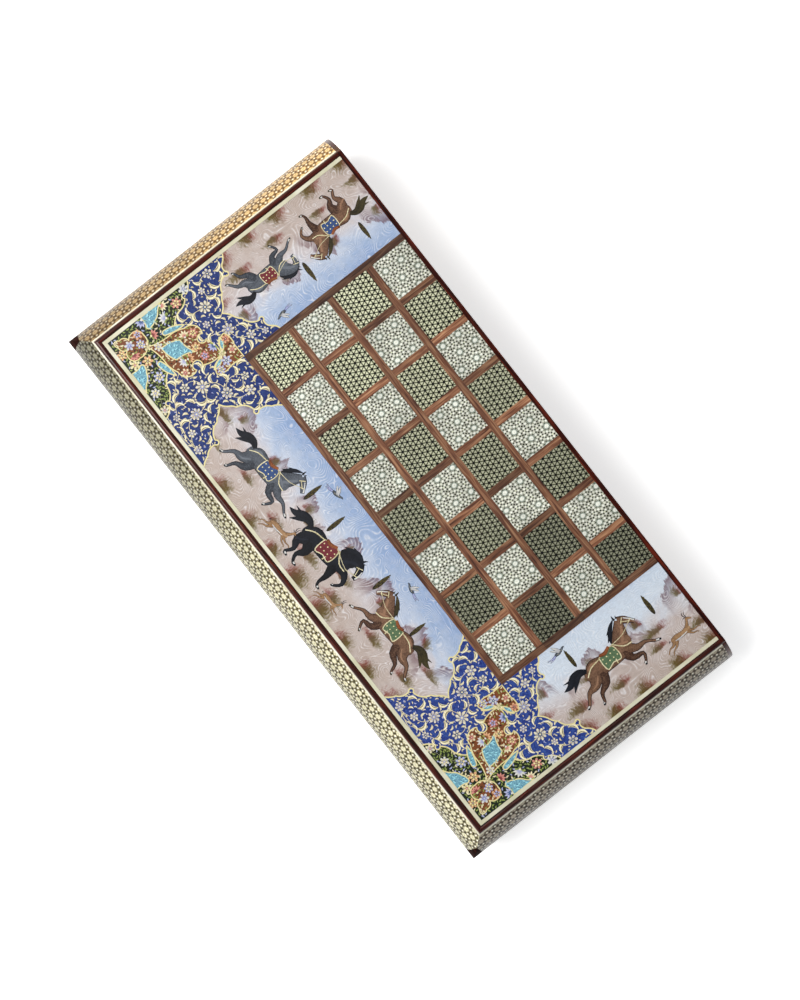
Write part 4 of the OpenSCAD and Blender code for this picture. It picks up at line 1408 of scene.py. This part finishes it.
sheet = new_sheet()
count = flower_bed(sheet, in_corner, seed=3, gap=8.3, radius=3.9, low=0.03,
                   greens=["leaf green", "leaf green", "gold", "leaf green", "lilac"])
count += flower_bed(sheet, in_russet, seed=11, gap=7.2, radius=3.5, low=0.062,
                    greens=["gold", "leaf green", "gold", "green black"])
for place in scatter(CORNER_AREA, in_turquoise, LEAF_MARGIN, 2.1, taken=[], tries=WASH_TRIES, seed=5):
    lean = place.x * 3.1
    leaf(sheet, place, lean, 2.4, 1.2, 0.072, "turquoise", width=0.26, shade=(0.9, 1.1))
    leaf(sheet, place + Vector((0.5, 0.5)), lean, 2.0, 1.2, 0.072, "turquoise", width=0.2, shade=(0.0, 0.1))
print("flowers a corner:", count)
hang(sheet, "corner_flowers")

# %% [markdown]
# ## Arabesque on the blue
# Gold flowers stand at listed places, with the thin tendrils that join them. Each tendril is given
# by the numbers of its two flowers and by its bulge. Large acanthus leaves are set along the tendrils
# first, then smaller and smaller ones fill the blue wherever it is still free.

# %% Gold flowers and tendrils
GOLD_FLOWERS = [(-201.3, -26.2, 4.6), (-177.8, -22.9, 4.6), (-132.3, -37.5, 4.0), (-141.0, -52.5, 4.2),
                (-155.9, -64.2, 4.9), (-142.6, -80.2, 4.4), (-163.4, -75.0, 3.3), (-120.8, -95.6, 3.2),
                (-164.5, -11.5, 3.4), (-219.8, -9.6, 3.6), (-133.4, -91.6, 3.0), (-190.4, -33.4, 2.7),
                (-143.0, -34.2, 3.0), (-160.2, -1.6, 2.6), (-212.2, -21.0, 2.6), (-149.6, -93.4, 2.6)]
TENDRILS = ((9, 14, 0.5), (14, 0, -0.5), (0, 7, 0.6), (7, 1, -0.6), (1, 8, 0.45), (8, 13, -0.5), (12, 2, 0.6),
            (2, 3, -0.5), (3, 12, -0.7), (3, 4, 0.55), (4, 5, -0.5), (4, 6, 0.7), (5, 10, 0.5), (10, 7, 0.3),
            (5, 15, -0.4))
sheet = new_sheet()
for i, (x, y, radius) in enumerate(GOLD_FLOWERS):
    rosette(sheet, Vector((x, y)), radius, ("gold", "lilac" if i % 3 else "blue", "cream"), 0.04,
            petals=8 if radius > 4 else 6, turn=i, inner="lilac" if i % 2 else "white")
tendrils = [trace([(*GOLD_FLOWERS[start][:2], bulge), (*GOLD_FLOWERS[end][:2], 0)])
            for start, end, bulge in TENDRILS]
for points in tendrils:
    stroke(sheet, even(points, 0.22), 0.004, "gold", (0.4, 0.7), ridge=0.02)
print(len(GOLD_FLOWERS), "gold flowers a side, joined by", len(tendrils), "tendrils")

# %% Gold leaves
ACANTHUS_FROM = 5.5
BLUE_AREA = ((-PANEL_X, PANEL_FRONT), (-105, 12))
FILLING_LEAVES = ((9, 5.5), (7.4, 4.9), (5, 3.7), (3.2, 2.8))
FILLING_TRIES, SMALL_TRIES = 2600, 9000
chance = random.Random(29)
taken = [(Vector((x, y)), radius * 0.75) for x, y, radius in GOLD_FLOWERS]


def grow(root, angle, length, curl, gap):
    """Paints a leaf if the ground round its middle is free, and keeps that ground for it."""
    middle = root + heading(angle + curl / 3) * length * 0.45
    if walls.find((*middle, 0))[2] < length * 0.3 or not in_blue(middle):
        return 0
    if any((middle - other).length < gap + reach for other, reach in taken):
        return 0
    taken.append((middle, length * 0.12))
    kind = acanthus if length > ACANTHUS_FROM else leaf
    kind(sheet, root, angle, length, curl, 0.012, "gold")
    return 1


count = 0
for points in tendrils:
    for i in range(3, len(points) - 3, 2):
        way = points[i + 1] - points[i - 1]
        side = (-1) ** (i // 2)
        angle = math.atan2(way.y, way.x) + side * 0.4
        count += grow(points[i], angle, chance.uniform(8.4, 10.2), side * 2.5, 5.8)
for length, gap in FILLING_LEAVES:
    for attempt in range(FILLING_TRIES):
        root = random_place(chance, BLUE_AREA)
        if in_blue(root):
            count += grow(root, chance.uniform(0, 2 * math.pi), length * chance.uniform(0.9, 1.1),
                          chance.choice((-2.1, 2.1)), gap)
small = scatter(BLUE_AREA, in_blue, LEAF_MARGIN, 2.2, taken, SMALL_TRIES, seed=43)
for place in small:
    angle = chance.uniform(0, 2 * math.pi)
    leaf(sheet, place, angle, chance.uniform(1.6, 2.4), chance.choice((-1.5, 1.5)), 0.01,
         chance.choice(("gold", "cream", "lilac")), width=0.2)
print("leaves on the blue of a side:", count + len(small))
hang(sheet, "arabesque")

# %% [markdown]
# ## Cream outlines
# Every wash is finished with a thin cream line over its edge, which also hides where two washes meet. The
# line is one long stroke of even width. Small gold knots cover the points where figures touch.

# %% Cream outlines
OUTER_LINE, INNER_LINE = 0.52, 0.46
KNOTS = ((21, 21, 2.1), (60.6, 60.6, 2.1), (4, 4, 1.3))
sheet = new_sheet()
for line_points in (end_edge, front_edge, corner_edge):
    stroke(sheet, even(line_points, OUTER_LINE), 0.024, "cream", (0.55, 0.55))
for form in russet_forms + turquoise_forms:
    stroke(sheet, even(form + form[:1], INNER_LINE), 0.072, "cream", (0.5, 0.5))
for *place, radius in KNOTS:
    (x, y, unused), = corner([(*place, 0)])
    rosette(sheet, Vector((x, y)), radius * 1.3, ("gold", "gold", "cream"), 0.09, petals=5)
hang(sheet, "cream_outlines")

# %% [markdown]
# ## Places in a scene
# Loose horses, gazelles and pheasants move over the plain, between cypresses, rocks and tufts of grass.
# Each is drawn once, to face right on its own ground line. A small function puts such a drawing in one of
# the three scenes, at a place, a size and a slant, and turned round if need be.

# %% The three scenes
def scene_frame(origin, right, up):
    """A function that puts scene points, in millimetres from its own ground line, on the plan."""
    origin, right, up = Vector(origin), Vector(right), Vector(up)

    def place(points, at=(0, 0), size=1.0, turn=0.0, face=1):
        spun = Matrix.Rotation(turn, 2)
        made = []
        for x, y, width in points:
            local = spun @ Vector((x * face, y)) * size + Vector(at)
            plan = origin + right * local.x + up * local.y
            made.append((plan.x, plan.y, width * size))
        return made
    return place


left_scene = scene_frame((-PANEL_X, 52), (0, -1), (1, 0))
right_scene = scene_frame((PANEL_X, 52), (0, 1), (-1, 0))
front_scene = scene_frame((0, PANEL_FRONT), (1, 0), (0, 1))
print("the left scene's middle is at", [round(part, 1) for part in left_scene([(0, 0, 1)])[0]])

# %% [markdown]
# ## Cypresses
# A cypress is a dark flame, one swelling stroke, with lighter marks that alternate on its two sides. The
# trees stand far back, so they are small and all of a height.

# %% Cypresses
TREES = ((left_scene, ((-50, 44, 0.9), (1, 42, 1.0))), (right_scene, ((-26, 46, 0.9), (44, 41, 1.0))),
         (front_scene, ((-44, 43, 1.0), (-15, 42, 1.0), (40, 42, 1.0), (84, 42, 0.9))))
FLAME = [(0, 0, 0.4), (0, 2, 1.6), (0.1, 7, 2.2), (0, 12.5, 1.7), (0, 17.5, 0.2)]
land = new_sheet()


def cypress(place, x, y, size):
    """A dark flame with lighter marks on both sides."""
    stroke(land, smooth(place(FLAME, (x, y), size), 3), 0.018, "umber", (0.0, 0.7), ridge=0.012)
    for i in range(7):
        mark = [(0.2, 2 + i * 1.9, 0.1), (1.1, 3.3 + i * 1.9, 0.24), (0.7, 4.4 + i * 1.9, 0.06)]
        mark = smooth(place(mark, (x, y), size, face=(-1) ** i), 2)
        stroke(land, mark, 0.03, "olive", (0.2, 0.8), ridge=0.008)


for place, trees in TREES:
    for x, y, size in trees:
        cypress(place, x, y, size)
hang(land, "scene_land", both=False)

# %% [markdown]
# ## Drawings of the animals
# A miniature painter draws an animal with few swelling strokes, and so does this table. Each stroke is a
# list of points, across, up and half width in millimetres, with the animal facing right. A horse has one
# body, two ways to hold its head and two ways to set its legs, near ones before far ones.

# %% The horse's body and heads
BODY = [[(-20, 21.4, 1.2), (-18.6, 21.2, 3.4), (-15.5, 21, 4.7), (-11, 21.6, 6.3), (-3, 20.4, 5.6),
         (6, 20.4, 5.8), (12.5, 22.2, 6.2), (16.5, 23.2, 4.4), (19.4, 23.4, 1.6)]]
HIGH = {
    "neck": [[(11.5, 23, 5.8), (15.4, 28.4, 4.8), (18.4, 33, 3.3), (20.6, 35.8, 2.4)],
             [(19.8, 36.2, 2.4), (23.4, 34.2, 2.3), (26.8, 30.8, 1.4), (28.6, 28.8, 1.15)]],
    "mane": [[(7.4, 27.4, 0.4), (9.6, 31.4, 1.5), (13.6, 35.8, 1.4), (18, 38.6, 0.3)],
             [(6, 29, 0.1), (8.4, 31, 0.7), (11.4, 33.4, 0.5)],
             [(8.4, 33.4, 0.1), (11, 34.6, 0.7), (14, 36.4, 0.4)],
             [(18.8, 37.6, 0.7), (18.6, 39.6, 0.5), (18.9, 41.2, 0.1)], [(20.2, 37.8, 0.6), (21, 39.8, 0.1)]],
    "bridle": [[(20.4, 33.2, 0.3), (23.6, 36.2, 0.3)], [(24.6, 30.6, 0.3), (27.2, 32.2, 0.3)],
               [(21.6, 34, 0.25), (26.2, 31, 0.25)], [(24.6, 31, 0.2), (17, 27.4, 0.2), (7, 26.6, 0.2)]],
    "eye": (22.9, 34.6),
    "blaze": [[(24, 35.4, 0.3), (27, 32.2, 0.45), (28.8, 29.6, 0.5)]],
}
ARCHED = {
    "neck": [[(11.5, 23.6, 5.8), (16.4, 28.2, 5.0), (20.8, 30, 3.7), (23.4, 29, 2.5)],
             [(22.8, 30.4, 2.3), (25.2, 27.2, 2.2), (26, 22.8, 1.4), (25.8, 20.4, 1.15)]],
    "mane": [[(7.4, 28, 0.4), (11.4, 32.2, 1.5), (17.4, 34.4, 1.5), (22.8, 33.2, 0.3)],
             [(7, 31, 0.1), (10, 32.4, 0.7), (13.6, 33.6, 0.5)],
             [(11.6, 35.2, 0.1), (14.6, 34.8, 0.7), (18, 34.6, 0.4)],
             [(22.4, 32.4, 0.7), (23.6, 34.4, 0.5), (25, 35.6, 0.1)], [(23.8, 31.8, 0.6), (25.6, 33.2, 0.1)]],
    "bridle": [[(22, 27.6, 0.3), (26.4, 29.2, 0.3)], [(24.2, 22.6, 0.3), (27.2, 23.2, 0.3)],
               [(23.8, 28, 0.25), (25.2, 23, 0.25)], [(24.6, 23, 0.2), (18, 21.4, 0.2), (7, 26, 0.2)]],
    "eye": (25.4, 28),
    "blaze": [[(27, 28, 0.3), (27.4, 24.4, 0.45), (26.8, 21.2, 0.5)]],
}
print("strokes of a head:", sum(len(HIGH[part]) for part in ("neck", "mane", "bridle", "blaze")))

# %% The horse's legs, tail and harness
GALLOP = [[(12.5, 19.5, 3.8), (18.5, 14.8, 2.1), (25, 14.2, 1.0), (30.5, 10.4, 0.6), (33, 9.4, 0.7)],
          [(10, 18.5, 3.8), (12.6, 11.2, 2.0), (19.4, 9.4, 1.0), (17.4, 4.4, 0.6), (15.6, 3, 0.7)],
          [(-13, 19.5, 5.4), (-18.5, 13.4, 3.0), (-24.6, 12, 1.3), (-29.4, 6.2, 0.7), (-32, 5, 0.75)],
          [(-10.5, 17.4, 4.8), (-11.8, 10.6, 2.6), (-18, 7, 1.15), (-20.4, 1.6, 0.65), (-22.2, 0.8, 0.75)]]
PRANCE = [[(13, 20, 3.8), (20, 18.4, 2.1), (23.4, 12.8, 1.0), (20, 8.6, 0.6), (18.4, 8.2, 0.7)],
          [(11, 18.5, 3.8), (12.4, 9.6, 1.8), (11.6, 3.8, 0.8), (12.6, 0.8, 0.6), (14, 0.4, 0.75)],
          [(-13, 19.5, 5.4), (-17.6, 12.4, 2.9), (-15.2, 6.6, 1.2), (-18.2, 1.4, 0.7), (-16.4, 0.5, 0.75)],
          [(-10.5, 17.4, 4.8), (-8.6, 10.4, 2.6), (-11.6, 5.2, 1.15), (-9.4, 0.3, 0.65), (-7.6, 0, 0.75)]]
TAIL = [[(-16.4, 24.6, 0.9), (-20.6, 27.6, 1.4), (-26, 27, 2.2), (-31, 23.6, 2.1), (-36.4, 23.4, 0.2)],
        [(-17, 24, 0.9), (-22, 25.2, 1.4), (-27, 22.4, 1.5), (-31.4, 18.4, 0.2)],
        [(-24, 26.4, 0.8), (-29, 26.4, 0.9), (-34, 27.4, 0.1)]]
HARNESS = [[(7, 27.2, 0.35), (12.6, 21, 0.4), (18.4, 19.8, 0.35)],
           [(-5, 25, 0.35), (-13, 24, 0.4), (-18.6, 20.4, 0.35)], [(2.6, 14.8, 0.4), (3.2, 18, 0.4)]]
CLOTH = [(-5, 25.4), (0, 26.6), (6.4, 26.4), (7.6, 21), (6.2, 16.2), (0.8, 17.4), (-4.6, 15.8), (-5.6, 20)]
SADDLE = [[(-4, 26.6, 0.9), (0, 25.6, 1.3), (4.6, 27.4, 0.9)]]
FLANK_LIGHTS = [[(-16, 23.6, 0.5), (-12, 25.4, 1.0), (-7, 24.4, 0.6)],
                [(9, 24.6, 0.6), (13.4, 23, 1.3), (16.6, 21.4, 0.4)],
                [(-13, 17.4, 0.5), (-17, 13.6, 0.9), (-21, 12.6, 0.3)]]
print("strokes of a tail:", len(TAIL), "and of the harness:", len(HARNESS))

# %% Strokes of the gazelle and the pheasant
GAZELLE = [[(-11.6, 14.2, 0.6), (-10, 14, 2.0), (-5, 14.4, 2.7), (2, 13.8, 2.4), (7, 14.6, 2.5),
            (10.4, 15.6, 1.2)],
           [(7.4, 15.4, 2.0), (10.6, 19.4, 1.1), (12.2, 22.4, 0.9)],
           [(11.4, 23, 0.6), (12.4, 22.8, 1.1), (14.6, 21.8, 0.8), (16.8, 20.6, 0.4)],
           [(7.6, 13, 1.5), (12.4, 10.6, 0.6), (17, 10.6, 0.34), (19.2, 9.4, 0.3)],
           [(6.4, 12.6, 1.4), (9.6, 8.4, 0.6), (13.6, 7.4, 0.34), (14.8, 5.8, 0.3)],
           [(-8.6, 13, 2.2), (-12.4, 9.8, 1.0), (-16.8, 9, 0.4), (-20.6, 5.6, 0.3)],
           [(-7, 12, 2.0), (-10, 7.6, 0.9), (-14.4, 5.6, 0.38), (-17.4, 2.2, 0.3)]]
GAZELLE_BELLY = [[(-8, 12.3, 0.3), (-2, 12, 0.6), (6, 12.8, 0.3)]]
GAZELLE_HORNS = [[(12.2, 24, 0.4), (11, 27.4, 0.36), (12.8, 30.6, 0.1)],
                 [(13.2, 24, 0.36), (13, 27.2, 0.3), (14.8, 30, 0.1)],
                 [(11.2, 23.6, 0.5), (9.2, 24.6, 0.1)], [(-12.4, 15, 0.7), (-14.4, 13.6, 0.1)]]
PHEASANT = [[(-6, 0, 1.1), (-1, 0.5, 2.2), (4, 1.6, 1.5), (7, 3, 0.9)],
            [(6.6, 3, 1.05), (8.4, 3.4, 0.7), (10, 3.1, 0.15)]]
PHEASANT_WINGS = [[(2.4, 1.4, 1.1), (0.6, 4.8, 1.5), (-2.6, 8.6, 0.9), (-4.2, 11.2, 0.1)],
                  [(1, 1, 1.0), (-1.8, 3.8, 1.3), (-5.4, 6.6, 0.8), (-7.4, 8.4, 0.1)]]
PHEASANT_TAIL = [[(-5.4, 0, 0.9), (-11, -1.2, 0.8), (-18, -0.4, 0.1)],
                 [(-5.4, -0.3, 0.7), (-10.4, -2.6, 0.6), (-16, -3.6, 0.1)]]
FEATHER_MARKS = [[(x - 0.5, y, 0.2), (x + 0.7, y - 0.4, 0.25)]
                 for x, y in ((0, 1), (2, 1.8), (4, 1.8), (-2, 0.2))]
print("strokes of a gazelle:", len(GAZELLE + GAZELLE_BELLY + GAZELLE_HORNS))

# %% [markdown]
# ## Painting the animals
# An animal is painted in layers, each a little higher than the one below. A dark underpainting is drawn
# slightly wider than the body, and what shows of it is the outline. Then come the far legs, the body with
# the near legs, its lights, mane, tail and hooves, and the harness and the cloth on top.

# %% The horse
animals = new_sheet()


def draw(place, strokes, low, pigment, shade=(0.3, 0.7), wider=0.0, ridge=RIDGE, **pose):
    """A set of strokes in one pigment. wider adds a rim all round, for the underpainting."""
    for points in strokes:
        fat = [(x, y, width + wider) for x, y, width in points]
        stroke(animals, smooth(place(fat, **pose), 3), low, pigment, shade, ridge)


def horse(place, coat, hair, cloth, legs, head, **pose):
    """A saddled horse. coat, hair and cloth are pigments, and legs and head are two of the tables above."""
    form = BODY + head["neck"]
    draw(place, form + legs, 0.04, "black", (0.1, 0.3), wider=0.36, ridge=0.008, **pose)
    draw(place, legs[1:4:2], 0.052, coat, (0.0, 0.2), **pose)
    draw(place, form + legs[::2], 0.06, coat, (0.3, 0.5), **pose)
    neck_light = [(x + 1.2, y - 0.6, width * 0.28) for x, y, width in head["neck"][0][:3]]
    draw(place, FLANK_LIGHTS + [neck_light], 0.08, coat, (0.8, 1.0), ridge=0.02, **pose)
    hooves, socks = [], []
    for leg in legs:
        (shin_x, shin_y, unused), (x, y, unused) = leg[-2:]
        hooves.append([(x, y, 0.75), (x + 1.3, y - 0.6, 0.6)])
        socks.append([(shin_x * 0.8 + x * 0.2, shin_y * 0.8 + y * 0.2, 0.45), (x, y, 0.6)])
    draw(place, head["mane"] + TAIL + hooves, 0.088, hair, (0.1, 0.7), **pose)
    draw(place, socks + head["blaze"], 0.088, "white", (0.5, 0.8), ridge=0.015, **pose)
    outline = [Vector(point[:2]) for point in place([(x, y, 1) for x, y in CLOTH], **pose)]
    plate(animals, outline, 0.105, cloth, 0.35)
    hem = [[(x, y, 0.4) for x, y in CLOTH + CLOTH[:1]]]
    draw(place, hem + HARNESS + head["bridle"], 0.1, "gold", ridge=0.02, **pose)
    dabs = [(i * 3.2 - 3.6, 23.2 - j * 3.4, 1) for i in range(4) for j in range(2)]
    for x, y, unused in place(dabs, **pose):
        spot(animals, x, y, 0.55, 0.104, "cream", 0.8)
    draw(place, SADDLE, 0.13, "russet", (0.3, 0.8), ridge=0.02, **pose)
    for x, y, unused in place([(*head["eye"], 1)], **pose):
        spot(animals, x, y, 0.42, 0.1, "black", 0.0)


print("strokes on a horse's flank:", len(HARNESS + SADDLE + FLANK_LIGHTS))

# %% The gazelle and the pheasant
def gazelle(place, **pose):
    """A running gazelle with a white belly."""
    draw(place, GAZELLE, 0.03, "black", (0.1, 0.4), wider=0.26, ridge=0.008, **pose)
    draw(place, GAZELLE, 0.05, "fawn", (0.2, 0.7), **pose)
    draw(place, GAZELLE_BELLY, 0.075, "white", ridge=0.02, **pose)
    draw(place, GAZELLE_HORNS, 0.085, "black", ridge=0.02, **pose)


def pheasant(place, **pose):
    """A flying pheasant: grey, with white wings and a lilac tail."""
    whole = PHEASANT + PHEASANT_WINGS + PHEASANT_TAIL
    draw(place, whole, 0.03, "black", (0.2, 0.4), wider=0.35, ridge=0.008, **pose)
    draw(place, PHEASANT_TAIL, 0.05, "lilac", (0.2, 0.9), **pose)
    draw(place, PHEASANT, 0.055, "grey", (0.2, 0.7), **pose)
    draw(place, PHEASANT_WINGS, 0.075, "white", (0.1, 0.9), **pose)
    draw(place, FEATHER_MARKS, 0.09, "gold", ridge=0.02, **pose)


print("strokes of a pheasant:", len(PHEASANT + PHEASANT_WINGS + PHEASANT_TAIL + FEATHER_MARKS))

# %% Animals in the scenes
horse(front_scene, "grey", "black", "blue", GALLOP, HIGH, at=(-77, 13), size=1.06, turn=0.04)
horse(front_scene, "black", "black", "red", PRANCE, ARCHED, at=(-2, 9), size=1.14, turn=0.1)
horse(front_scene, "chestnut", "umber", "sage", GALLOP, HIGH, at=(75, 13), size=1.06, turn=0.03, face=-1)
gazelle(front_scene, at=(-37, 4), size=0.78, turn=0.05)
gazelle(front_scene, at=(27, 3), size=0.62)
pheasant(front_scene, at=(-32, 64), size=0.6)
pheasant(front_scene, at=(58, 64), size=0.55, face=-1)
horse(left_scene, "chestnut", "umber", "blue", PRANCE, HIGH, at=(-32, 13), size=0.95, turn=0.06)
horse(left_scene, "grey", "black", "red", GALLOP, ARCHED, at=(28, 15), size=0.9, turn=0.04, face=-1)
pheasant(left_scene, at=(36, 62), size=0.55)
horse(right_scene, "chestnut", "black", "sage", GALLOP, HIGH, at=(-2, 12), size=1.14, turn=0.05)
gazelle(right_scene, at=(50, 6), size=0.8)
pheasant(right_scene, at=(-30, 62), size=0.6)
hang(animals, "scene_animals", both=False)
